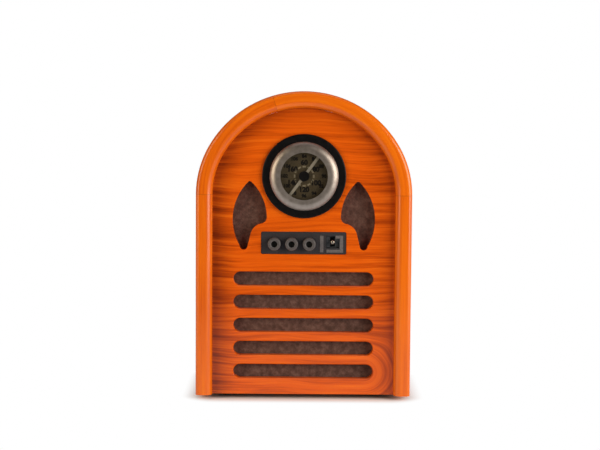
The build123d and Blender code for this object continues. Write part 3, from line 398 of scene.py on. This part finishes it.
# Dial plate: olive enamel printed on sheet, on a moulded carrier. Two circles of plain scale numbers
# are printed in dark ink and a ring of dashes in pale ink, each a hair thick.
ink_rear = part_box("dial_plate")[0].y
ink_thickness = 0.04 * mm
ink_front = ink_rear - ink_thickness
outer_numbers = [str(n) for n in range(84, 108, 2)]
outer_ring = 19.3 * mm
outer_height = 4.6 * mm
inner_numbers = ["60", "80", "100", "120", "140", "160"]
inner_ring = 13.2 * mm
inner_height = 6.6 * mm
# Shares of a figure's height by which its strokes are swollen and edged, so that they print bold.
figure_swell = 0.019
figure_weight = 0.04
dash_count = 12
dash_inner = 8.5 * mm
dash_outer = 10.1 * mm
dash_width = 3.1 * mm
# Enamel: even and slightly glossy, with faint specks, aged from green towards brown.
enamel = mottled(
    "olive_enamel_print", "352D1F", "423929", 1.2 * mm, (0.4, 0.55), 0.01 * mm,
    {"Specular IOR Level": 0.2})
# Screen inks: flat and dull, one nearly black and one a dusty cream.
dial_ink = mottled(
    "dark_screen_ink", "060505", "0B0909", 0.8 * mm, (0.6, 0.75), 0.01 * mm,
    {"Specular IOR Level": 0.1})
pale_ink = mottled("pale_screen_ink", "625947", "6F6552", 0.8 * mm, (0.6, 0.75), 0.01 * mm)
dress(enamel, "dial_plate")


def slab(mesh, low, high, turn=None):
    """Block between two corners, turned by a matrix where one is given."""
    size = high - low
    middle = Matrix.Translation((low + high) / 2) @ Matrix.Diagonal((*size, 1.0))
    bmesh.ops.create_cube(mesh, size=1.0, matrix=(turn @ middle) if turn else middle)


def add_words(mesh, words, height, middle):
    """Flat figures from the built-in typeface, centred on a point and facing the listener."""
    curve = bpy.data.curves.new("figures", "FONT")
    curve.body = words
    curve.size = height
    curve.offset = figure_swell * height
    curve.bevel_depth = figure_weight * height
    curve.bevel_resolution = 0
    curve.align_x = "CENTER"
    curve.align_y = "CENTER"
    holder = bpy.data.objects.new("figures", curve)
    bpy.context.scene.collection.objects.link(holder)
    figures = bpy.data.meshes.new_from_object(holder.evaluated_get(bpy.context.evaluated_depsgraph_get()))
    flatten = Matrix.Scale((ink_rear - ink_front) / (2 * curve.bevel_depth), 4, (0.0, 0.0, 1.0))
    figures.transform(Matrix.Translation(middle) @ Matrix.Rotation(math.pi / 2, 4, "X") @ flatten)
    mesh.from_mesh(figures)
    bpy.data.objects.remove(holder)
    bpy.data.curves.remove(curve)
    bpy.data.meshes.remove(figures)


scale = bmesh.new()
ink_middle = (ink_rear + ink_front) / 2
for numbers, ring, height in (
    (outer_numbers, outer_ring, outer_height), (inner_numbers, inner_ring, inner_height)):
    for place_on_ring, words in enumerate(numbers):
        angle = math.tau * place_on_ring / len(numbers)
        at = dial_centre + Vector((ring * math.sin(angle), ink_middle, ring * math.cos(angle)))
        add_words(scale, words, height, at)
new_piece("dial_figures", scale, dial_ink, "cabinet", smooth=False)
dashes = bmesh.new()
for number in range(dash_count):
    turn = Matrix.Translation(dial_centre) @ Matrix.Rotation(math.tau * number / dash_count, 4, "Y")
    slab(dashes, Vector((-dash_width / 2, ink_front, dash_inner)),
         Vector((dash_width / 2, ink_rear, dash_outer)), turn)
new_piece("dial_dashes", dashes, pale_ink, "cabinet", smooth=False)

# Pointer, hub and lens: a pressed needle painted off-white, seated in the ring, under a black button
# and a clear acrylic window that snaps into the ring.
# Sprayed paint: even and half dull, its off-white toned down to grey as a painted shade for the recess
# behind the lens.
needle_paint_shaded = mottled("off_white_paint_toned_for_shade", "736C61", "80796D", 1.5 * mm, (0.45, 0.6), 0.02 * mm)
dress(needle_paint_shaded, "pointer")
dress(phenolic, "pointer_hub")
lens_dust = 2.0 * mm
glance_ior = 1.25  # less than acrylic's 1.49, so that the pale room does not veil the dial
# Acrylic: seen only by the light that glances off its outer faces, and clear from every side.
acrylic, tree = new_material("polished_clear_acrylic")
place = add(tree, "TexCoord")
dust = add(tree, "TexNoise", {"Vector": place.outputs["Object"], "Scale": 1 / lens_dust, "Detail": 3.0})
haze = add(tree, "MapRange", {"Value": dust, "To Min": 0.04, "To Max": 0.1})
shine = add(tree, "BsdfGlossy", {"Color": linear("FFFFFF"), "Roughness": haze})
through = add(tree, "BsdfTransparent", {"Color": linear("FDFDFC")})
glance = add(tree, "Fresnel", {"IOR": glance_ior})
side = add(tree, "NewGeometry")
outside = add(tree, "Math", {0: 1.0, 1: side.outputs["Backfacing"]}, operation="SUBTRACT")
glance = add(tree, "Math", {0: glance, 1: outside}, operation="MULTIPLY")
window = add(tree, "MixShader", {0: glance, 1: through, 2: shine})
add(tree, "OutputMaterial", {"Surface": window})
dress(acrylic, "dial_lens")

# Dial carrier and bridge: a dark grey moulded disc on three posts, standing on a plated steel plate that
# four turned spacers and long screws hold off the back of the panel.
# Moulded case plastic: even and half dull, with a fine mould grain.
case_plastic = mottled("moulded_component_case", "34363B", "42454C", 1.0 * mm, (0.4, 0.55), 0.03 * mm)
dress(case_plastic, "dial_carrier")
dress(zinc_steel, "dial_bridge", "bridge_spacers", "bridge_screws")

# Tuning capacitor, its shaft and pinion: a closed moulded body, and a brass shaft and gear that the
# teeth inside the ring turn. Turned brass is warm and bright, with a trace of tarnish.
brass = mottled("turned_brass", "A07A36", "B98F45", 1.5 * mm, (0.25, 0.38), 0.02 * mm, {"Metallic": 1.0})
dress(case_plastic, "tuning_capacitor")
dress(brass, "capacitor_shaft", "capacitor_pinion")

# Control plate: black ABS moulding pressed into the panel's rebate, with a fine spark-eroded grain.
# A thin grey trim, a bar and an open frame, is pressed on round the selector.
control_low, control_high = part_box("control_plate")
control_z = (control_low.z + control_high.z) / 2
trim_rear = control_low.y
trim_height = 0.5 * mm
trim_bevel = 0.12 * mm
# The trim's corners in mm from the middle of the plate: the bar, then the open frame.
trim_outlines = [
    [(15.8, -9.0), (19.4, -9.0), (19.4, 7.3), (15.8, 7.3)],
    [(22.2, -9.2), (38.6, -9.2), (38.6, 7.5), (31.0, 7.5), (31.0, 4.6), (35.2, 4.6), (35.2, -6.3),
     (22.2, -6.3)]]
# Grained ABS is a dull near-black. The trim is smooth from the mould, grey and duller still.
black_abs = mottled(
    "spark_grained_black_abs", "1D1A1E", "29252A", 0.9 * mm, (0.5, 0.65), 0.06 * mm,
    {"Specular IOR Level": 0.35})
grey_abs = mottled("moulded_grey_abs", "4A4648", "5A5557", 1.2 * mm, (0.6, 0.75), 0.01 * mm)
dress(black_abs, "control_plate")
trim = bmesh.new()
for outline in trim_outlines:
    back = trim.faces.new([
        trim.verts.new((x * mm, trim_rear, control_z + z * mm)) for x, z in outline])
    raised = bmesh.ops.extrude_face_region(trim, geom=[back])["geom"]
    front = [part for part in raised if isinstance(part, bmesh.types.BMVert)]
    bmesh.ops.translate(trim, verts=front, vec=(0.0, -trim_height, 0.0))
    rim = [part for part in raised if isinstance(part, bmesh.types.BMEdge)]
    bmesh.ops.bevel(trim, geom=rim, offset=trim_bevel, segments=2, affect="EDGES")
bmesh.ops.recalc_face_normals(trim, faces=trim.faces)
new_piece("selector_border", trim, grey_abs, "cabinet", smooth=False)

# Bracket, pots, switch body and nuts behind the plate: pressed plated steel screwed to the panel's
# back, moulded cases, brass shafts and plated nuts on the bushings.
dress(zinc_steel, "control_bracket", "bracket_screws", "control_nuts")
dress(case_plastic, "control_pots", "selector_switch")
dress(brass, "volume_shaft", "bass_shaft", "treble_shaft")

# Knobs: small grey ABS caps pushed onto the shafts, with a finely fluted skirt for grip, a bevelled
# face and a deep eye in the middle whose recess is coloured black, a painted shade.
controls = ("volume", "bass", "treble")
flute_count = 36
flute_depth = 0.28 * mm
knob_bevel = 0.7 * mm
face_fall = 0.1 * mm
eye_radius = 3.0 * mm
eye_depth = 2.2 * mm
eye_lip = 0.35 * mm
eye_margin = 0.02 * mm
knob_grit = 0.7 * mm
knob_segments = 144


def lathe(mesh, profile, middle, segments, wave=None, hollow=False):
    """Turned skin about a Y-wise axis from (radius, depth) points; wave(point, angle) shifts a radius.
    A hollow one is a ring whose last point joins its first, and the others are closed by two discs."""
    rings = []
    for number, (radius, depth) in enumerate(profile):
        ring = []
        for step in range(segments):
            angle = math.tau * step / segments
            reach = radius + (wave(number, angle) if wave else 0.0)
            ring.append(mesh.verts.new((
                middle.x + reach * math.sin(angle), depth, middle.z + reach * math.cos(angle))))
        rings.append(ring)
    for inner, outer in zip(rings, rings[1:] + (rings[:1] if hollow else [])):
        for step in range(segments):
            after = (step + 1) % segments
            mesh.faces.new((inner[step], inner[after], outer[after], outer[step]))
    for ring in () if hollow else (rings[0], rings[-1]):
        bmesh.ops.contextual_create(mesh, geom=ring)
    bmesh.ops.recalc_face_normals(mesh, faces=mesh.faces)


# Moulded grey ABS: even and half dull, with a fine mould grain. The eye's recess is painted dead black and
# dull, a painted shade.
knob_abs, tree = new_material("moulded_grey_abs_painted_shade_eye")
place = add(tree, "TexCoord")
grit = add(tree, "TexNoise", {"Vector": place.outputs["Object"], "Scale": 1 / knob_grit, "Detail": 3.0})
tone = add(tree, "ValToRGB", {"Fac": grit}, stops=[(0.35, "403C3D"), (0.65, "504B4C")])
nearest = None
for control in controls:
    low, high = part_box(f"{control}_knob")
    middle = (low + high) / 2
    offset = add(tree, "VectorMath", {
        0: place.outputs["Object"], 1: (middle.x, 0.0, middle.z)}, operation="SUBTRACT")
    flat = add(tree, "VectorMath", {0: offset, 1: (1.0, 0.0, 1.0)}, operation="MULTIPLY")
    reach = add(tree, "VectorMath", {0: flat}, operation="LENGTH").outputs["Value"]
    nearest = reach if nearest is None else add(
        tree, "Math", {0: nearest, 1: reach}, operation="MINIMUM").outputs[0]
# Painted shade: inside the eye the grey is swapped for near black and the shine is cut.
eye_shade_mask = add(tree, "Math", {0: nearest, 1: eye_radius + eye_margin}, operation="LESS_THAN")
eye_shaded_tone = add(tree, "Mix", {"Factor": eye_shade_mask, 6: tone, 7: linear("121212")}, data_type="RGBA")
texture = add(tree, "Bump", {"Height": grit, "Strength": 0.3, "Distance": 0.04 * mm})
eye_dull_spec = add(tree, "MapRange", {"Value": eye_shade_mask, "To Min": 0.4, "To Max": 0.02})
shader = add(tree, "BsdfPrincipled", {
    "Base Color": eye_shaded_tone.outputs[2], "Roughness": 0.42, "Normal": texture,
    "Specular IOR Level": eye_dull_spec.outputs[0]})
add(tree, "OutputMaterial", {"Surface": shader})
for control in controls:
    low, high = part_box(f"{control}_knob")
    middle = (low + high) / 2
    full = (high.x - low.x) / 2
    profile = [
        (eye_radius - eye_lip, low.y + eye_depth), (eye_radius, low.y + eye_depth - eye_lip),
        (eye_radius, low.y + eye_lip), (eye_radius + eye_lip, low.y),
        (full - knob_bevel - eye_lip, low.y), (full - knob_bevel, low.y + face_fall),
        (full, low.y + knob_bevel), (full, high.y - knob_bevel), (full, high.y),
        (full - 2 * knob_bevel, high.y)]
    fluted = (6, 7)  # the points of the profile that the flutes run between
    knob = bmesh.new()
    lathe(knob, profile, middle, knob_segments, wave=lambda number, angle: (
        -flute_depth * (0.5 + 0.5 * math.cos(flute_count * angle)) if number in fluted else 0.0))
    piece = new_piece(f"{control}_knob_fluted", knob, knob_abs, f"{control}_control")
    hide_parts(f"{control}_knob")

# Selector lever: turned and nickel-plated brass, waisted towards its pivot with a rounded tip, on a
# cross pin in the switch. The pale tip is the brightest spot on the plate.
lever_low, lever_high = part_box("selector_lever")
lever_middle = (lever_low + lever_high) / 2
tip_radius = (lever_high.z - lever_low.z) / 2
# The outline as (radius, depth), in shares of the tip's radius.
lever_profile = [(0.25, 0.0), (0.62, 0.13), (0.86, 0.34), (0.98, 0.66), (1.0, 1.0), (0.95, 1.4),
                 (0.82, 1.9), (0.66, 2.6), (0.55, 3.4), (0.5, 4.2), (0.52, 5.0), (0.4, 5.15)]
lever_segments = 40
pin_half = 1.0 * mm
pin_inset = 2.0 * mm
# Nickel plate: warm grey metal with a soft sheen, slightly cloudy.
nickel = mottled(
    "satin_nickel_plate", "7A736A", "8A8278", 2.5 * mm, (0.26, 0.36), 0.005 * mm, {"Metallic": 1.0})
lever = bmesh.new()
lathe(lever, [(radius * tip_radius, lever_low.y + depth * tip_radius) for radius, depth in lever_profile],
      lever_middle, lever_segments)
pivot_half = Vector((lever_high.x - lever_middle.x, pin_half, pin_half))
pivot = Vector((lever_middle.x, lever_high.y - pin_inset, lever_middle.z))
slab(lever, pivot - pivot_half, pivot + pivot_half)
piece = new_piece("selector_lever_turned", lever, nickel, "selector")
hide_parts("selector_lever")

# Loudspeaker: pressed and painted steel basket, a pressed paper cone with its cap, a copper coil on a
# former, a resin-dipped cloth spider, and a ferrite ring between plated steel poles.
dress(zinc_steel, "speaker_screws", "front_pole_plate", "rear_yoke")
# Baked enamel is an even half-gloss black, paper is dull and rough, dipped cotton is amber, wound copper
# is warm and bright, and sintered ferrite is a dull slate grey.
basket_paint = mottled("black_baked_enamel_steel", "151515", "202021", 1.5 * mm, (0.4, 0.55), 0.03 * mm)
cone_paper = mottled("pressed_grey_paper", "2B2927", "3A3734", 1.2 * mm, (0.8, 0.95), 0.2 * mm)
spider_cloth = mottled("resin_dipped_cotton", "8E6B3A", "A9834D", 0.9 * mm, (0.75, 0.9), 0.15 * mm)
copper = mottled(
    "enamelled_copper_wire", "8A4A22", "A85F30", 0.8 * mm, (0.3, 0.45), 0.1 * mm, {"Metallic": 1.0})
ferrite = mottled("sintered_ferrite", "26262A", "34343A", 1.0 * mm, (0.55, 0.7), 0.05 * mm)
dress(basket_paint, "speaker_frame")
dress(cone_paper, "speaker_cone", "dust_cap")
dress(spider_cloth, "spider")
dress(copper, "voice_coil")
dress(ferrite, "magnet")

# Surround: half roll of foam between the cone and the basket, drawn as two rings that slide past each
# other at the crest, because the inner edge is glued to the cone and goes with it.
surround_low, surround_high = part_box("cone_surround")
surround_middle = (surround_low + surround_high) / 2
surround_edge = surround_high.x
crest_inset = 4.7 * mm
glue_inset = 9.7 * mm
roll_crest = surround_edge - crest_inset
roll_half = 2.5 * mm
roll_wall = 0.6 * mm
roll_slip = 0.05 * mm
glue_edge = surround_edge - glue_inset
roll_face = surround_high.y - roll_wall
roll_height = roll_face - surround_low.y
roll_steps = 8
roll_segments = 96
# Polyester foam: dull black, with open pores.
foam = mottled("black_polyester_foam", "141414", "222120", 0.7 * mm, (0.85, 0.95), 0.2 * mm)
for part, body, way, edge in (
    ("inner", "speaker_diaphragm", -1, glue_edge), ("outer", "cabinet", 1, surround_edge)):
    start = roll_crest + (roll_slip if way > 0 else 0.0)
    sweep = [math.pi / 2 * step / roll_steps for step in range(roll_steps + 1)]
    front = [(start + way * roll_half * math.sin(turn), roll_face - roll_height * math.cos(turn))
             for turn in sweep]
    back = [(start + way * (roll_half - roll_wall) * math.sin(turn),
             surround_high.y - (roll_height - roll_wall) * math.cos(turn)) for turn in reversed(sweep)]
    roll = bmesh.new()
    lathe(roll, front + [(edge, roll_face), (edge, surround_high.y)] + back, surround_middle,
          roll_segments, hollow=True)
    piece = new_piece(f"cone_surround_{part}", roll, foam, body)
    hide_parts("cone_surround")

# Main board: green lacquered laminate on nylon standoffs, with a folded tinplate can over the tuner
# and three sleeved capacitors. Nylon is milky, the lacquer a half-gloss green, tinplate bright and
# cloudy, and the sleeves have a dark blue shine.
nylon = mottled("moulded_natural_nylon", "D8D3C4", "E6E2D6", 1.5 * mm, (0.4, 0.55), 0.03 * mm)
laminate = mottled("green_lacquered_laminate", "1F4A2C", "2C5E3A", 2.0 * mm, (0.35, 0.5), 0.03 * mm)
tinplate = mottled(
    "folded_tinplate", "9A9C9C", "B9BABA", 5.0 * mm, (0.25, 0.4), 0.02 * mm, {"Metallic": 1.0})
sleeve = mottled("shrunk_pvc_sleeve", "1B2440", "263155", 1.5 * mm, (0.3, 0.45), 0.03 * mm)
dress(laminate, "main_board")
dress(nylon, "board_standoffs")
dress(tinplate, "tuner_can")
dress(sleeve, "board_capacitors")

# Rear panel: hardboard painted matt black, with vent slots, let into the back and held by six screws.
# The screws are plated steel with flat heads, a cross recess and a cut thread.
screw_head = 3.0 * mm
head_depth = 2.0 * mm
head_seat = 0.3 * mm
head_edge = 0.4 * mm
cross_length = 1.75 * mm
cross_width = 0.42 * mm
cross_depth = 0.9 * mm
cross_clear = 1.0 * mm
shank = 1.5 * mm
screw_point = 0.2 * mm
point_turns = 2
thread_pitch = 1.0 * mm
thread_root = 0.75
root_place, crest_place = 0.2, 0.7
screw_segments = 32
screw_rows = 3
# Painted hardboard: dull black, with the board's slight pimple under the paint.
black_board = mottled("hardboard_matt_black_paint", "0E0D0C", "191715", 1.5 * mm, (0.7, 0.85), 0.15 * mm)
dress(black_board, "rear_panel")
rear_low, rear_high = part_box("rear_screws")
screw_left, screw_right = rear_low.x + screw_head, rear_high.x - screw_head
screw_bottom, screw_top = rear_low.z + screw_head, rear_high.z - screw_head
shank_end = rear_high.y - head_depth
thread_turns = int((shank_end - rear_low.y) / thread_pitch)
screw_profile = [(screw_point, rear_low.y)]
for turn_number in range(thread_turns):
    start = rear_low.y + turn_number * thread_pitch
    full = shank * min(1.0, (turn_number + 1) / point_turns)
    screw_profile += [
        (thread_root * full, start + root_place * thread_pitch), (full, start + crest_place * thread_pitch)]
screw_profile += [
    (shank, shank_end), (screw_head, shank_end + head_seat), (screw_head, rear_high.y - head_edge),
    (screw_head - head_edge, rear_high.y)]
one_screw = bmesh.new()
lathe(one_screw, screw_profile, Vector((0.0, 0.0, 0.0)), screw_segments)
cutter = bmesh.new()
for long, wide in ((cross_length, cross_width), (cross_width, cross_length)):
    slab(cutter, Vector((-long, rear_high.y - cross_depth, -wide)),
         Vector((long, rear_high.y + cross_clear, wide)))
holders = []
for mesh in (one_screw, cutter):
    data = bpy.data.meshes.new("screw_stage")
    mesh.to_mesh(data)
    mesh.free()
    holders.append(bpy.data.objects.new("screw_stage", data))
    bpy.context.scene.collection.objects.link(holders[-1])
recess = holders[0].modifiers.new("cross", "BOOLEAN")
recess.operation = "DIFFERENCE"
recess.object = holders[1]
recess.use_self = True
screw_mesh = bpy.data.meshes.new_from_object(
    holders[0].evaluated_get(bpy.context.evaluated_depsgraph_get()))
for holder in holders:
    bpy.data.objects.remove(holder)
screws = bmesh.new()
for x in (screw_left, screw_right):
    for row in range(screw_rows):
        z = screw_bottom + (screw_top - screw_bottom) * row / (screw_rows - 1)
        placed = screw_mesh.copy()
        placed.transform(Matrix.Translation((x, 0.0, z)))
        screws.from_mesh(placed)
        bpy.data.meshes.remove(placed)
bpy.data.meshes.remove(screw_mesh)
piece = new_piece("rear_screws_cross", screws, zinc_steel, "cabinet", smooth=False)
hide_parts("rear_screws")

# Aerial: a sintered ferrite rod with a coil of enamelled copper wire, in two moulded nylon holders on the
# inside of the rear panel. The finishes are those of the magnet, the voice coil and the standoffs.
dress(ferrite, "aerial_rod")
dress(copper, "aerial_coil")
dress(nylon, "aerial_holders")

# Power inlet and its nut: black moulded socket through the rear panel with a plated centre pin, held
# from inside by a plated steel nut.
inlet_low, inlet_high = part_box("dc_inlet")
inlet_middle = (inlet_low + inlet_high) / 2
pin_radius = 1.15 * mm
socket_grit = 0.6 * mm
# Glass-filled nylon: dull black with a fine grain; the pin in the middle is bright metal.
socket_nylon, tree = new_material("glass_filled_nylon_plated_pin")
place = add(tree, "TexCoord")
from_axis = add(tree, "VectorMath", {
    0: place.outputs["Object"], 1: (inlet_middle.x, 0.0, inlet_middle.z)}, operation="SUBTRACT")
flat = add(tree, "VectorMath", {0: from_axis, 1: (1.0, 0.0, 1.0)}, operation="MULTIPLY")
reach = add(tree, "VectorMath", {0: flat}, operation="LENGTH")
on_pin = add(tree, "Math", {0: reach.outputs["Value"], 1: pin_radius}, operation="LESS_THAN")
grit = add(tree, "TexNoise", {"Vector": place.outputs["Object"], "Scale": 1 / socket_grit, "Detail": 3.0})
tone = add(tree, "ValToRGB", {"Fac": grit}, stops=[(0.35, "121213"), (0.65, "1D1D1E")])
body = add(tree, "Mix", {"Factor": on_pin, 6: tone, 7: linear("C8C4BA")}, data_type="RGBA")
dull = add(tree, "MapRange", {"Value": on_pin, "To Min": 0.55, "To Max": 0.25})
texture = add(tree, "Bump", {"Height": grit, "Strength": 0.3, "Distance": 0.04 * mm})
shader = add(tree, "BsdfPrincipled", {
    "Base Color": body.outputs[2], "Metallic": on_pin, "Roughness": dull, "Normal": texture})
add(tree, "OutputMaterial", {"Surface": shader})
dress(socket_nylon, "dc_inlet")
dress(zinc_steel, "inlet_nut")

# Studio: a pale matt floor that fades to plain white away from the radio, under three soft lamps and
# a pale room.
floor_half = (2.5, 0.6)
set_in = 22.0 * mm
footprint = (
    max(-cad_box[0].x, cad_box[1].x) - set_in, max(-cad_box[0].y, cad_box[1].y) - set_in, 0.0)
fade = (14.0 * mm, 38.0 * mm)
deep_shade = 18.0 * mm
deep_shade_share = 0.65
board_fleck = 30.0 * mm
floor_mesh = bmesh.new()
bmesh.ops.create_grid(
    floor_mesh, x_segments=1, y_segments=1, size=1.0, matrix=Matrix.Diagonal((*floor_half, 1.0, 1.0)))
floor_data = bpy.data.meshes.new("studio_floor")
floor_mesh.to_mesh(floor_data)
floor_mesh.free()
floor = bpy.data.objects.new("studio_floor", floor_data)
bpy.context.scene.collection.objects.link(floor)
# Matt white board: plain diffuse near the radio, so that its shadow stays, and white in the distance.
# Where the radio stands the board is darker, for the deep shade between its feet.
white_board, tree = new_material("matt_white_board")
place = add(tree, "TexCoord")
mirrored = add(tree, "VectorMath", {0: place.outputs["Object"]}, operation="ABSOLUTE")
beyond = add(tree, "VectorMath", {0: mirrored, 1: footprint}, operation="SUBTRACT")
beyond = add(tree, "VectorMath", {0: beyond, 1: (0.0, 0.0, 0.0)}, operation="MAXIMUM")
reach = add(tree, "VectorMath", {0: beyond}, operation="LENGTH")
far = add(tree, "MapRange", {
    "Value": reach.outputs["Value"], "From Min": fade[0], "From Max": fade[1]},
    interpolation_type="SMOOTHSTEP")
rays = add(tree, "LightPath")
seen = add(tree, "Math", {
    0: rays.outputs["Is Camera Ray"], 1: rays.outputs["Is Glossy Ray"]}, operation="MAXIMUM")
seen = add(tree, "Math", {0: seen, 1: rays.outputs["Is Transmission Ray"]}, operation="MAXIMUM")
blank = add(tree, "Math", {0: far.outputs[0], 1: seen}, operation="MULTIPLY")
fleck = add(tree, "TexNoise", {"Vector": place.outputs["Object"], "Scale": 1 / board_fleck, "Detail": 2.0})
board = add(tree, "ValToRGB", {"Fac": fleck}, stops=[(0.3, "F0F1F4"), (0.7, "F4F5F8")])
under = add(tree, "MapRange", {
    "Value": reach.outputs["Value"], "From Max": deep_shade, "To Min": deep_shade_share, "To Max": 0.0})
board = add(tree, "Mix", {"Factor": under.outputs[0], 6: board, 7: linear("62554E")}, data_type="RGBA")
matt = add(tree, "BsdfDiffuse", {"Color": board.outputs[2]})
white = add(tree, "Emission", {"Color": linear("FFFFFF"), "Strength": 1.0})
surface = add(tree, "MixShader", {0: blank, 1: matt, 2: white})
add(tree, "OutputMaterial", {"Surface": surface})
floor_data.materials.append(white_board)

# The room gives a little even light, is dimmer in glossy reflections and is seen as plain white.
room_light = 0.12
room_shine = 0.06
world = bpy.data.worlds.new("pale_room")
bpy.context.scene.world = world
world.use_nodes = True
tree = world.node_tree
tree.nodes.clear()
rays = add(tree, "LightPath")
shown = add(tree, "Math", {
    0: rays.outputs["Is Camera Ray"], 1: rays.outputs["Is Transmission Ray"]}, operation="MAXIMUM")
shiny = add(tree, "MapRange", {
    "Value": rays.outputs["Is Glossy Ray"], "To Min": room_light, "To Max": room_shine})
strength = add(tree, "Math", {0: shown, 1: shiny.outputs[0]}, operation="MAXIMUM")
backing = add(tree, "Background", {"Color": linear("FFFFFF"), "Strength": strength})
add(tree, "OutputWorld", {"Surface": backing})

# Each lamp's place and size in metres, its power in watts and its tint.
lamps = {
    "key_softbox": ((1.1, -0.8, 0.42), (1.0, 0.8), 21.0, "FFF7EA"),
    "fill_softbox": ((-1.06, -0.84, 0.45), (0.6, 0.8), 10.5, "FFEFD2"),
    "top_softbox": ((0.0, -0.1, 1.3), (0.9, 0.9), 2.5, "FFFFFF")}
aim = Vector((0.0, 0.0, 0.15))
for name, (where, (wide, tall), power, tint) in lamps.items():
    lamp = bpy.data.lights.new(name, "AREA")
    lamp.shape = "RECTANGLE"
    lamp.size = wide
    lamp.size_y = tall
    lamp.energy = power
    lamp.color = linear(tint)[:3]
    holder = bpy.data.objects.new(name, lamp)
    holder.location = where
    holder.rotation_euler = (aim - Vector(where)).to_track_quat("-Z", "Y").to_euler()
    bpy.context.scene.collection.objects.link(holder)

# Camera: a metre and a half in front of the radio and about level with its top, looking slightly down at
# a point a little above its middle, with a slight roll.
sensor = 36.0
picture_width = 585.5 * mm
view_distance = 1.5
view_pitch = math.radians(4.6)
view_roll = math.radians(0.4)
view_middle = Vector((-3.7 * mm, shell_low.y + 10 * mm, 171.4 * mm))
lens = bpy.data.cameras.new("listener_view")
lens.sensor_width = sensor
lens.lens = sensor * view_distance / picture_width
camera = bpy.data.objects.new("listener_view", lens)
camera.location = view_middle + view_distance * Vector((0.0, -math.cos(view_pitch), math.sin(view_pitch)))
level = (view_middle - camera.location).to_track_quat("-Z", "Y")
camera.rotation_euler = (level @ Quaternion((0.0, 0.0, 1.0), view_roll)).to_euler()
bpy.context.scene.collection.objects.link(camera)
bpy.context.scene.camera = camera
bpy.context.scene.view_settings.view_transform = "Standard"
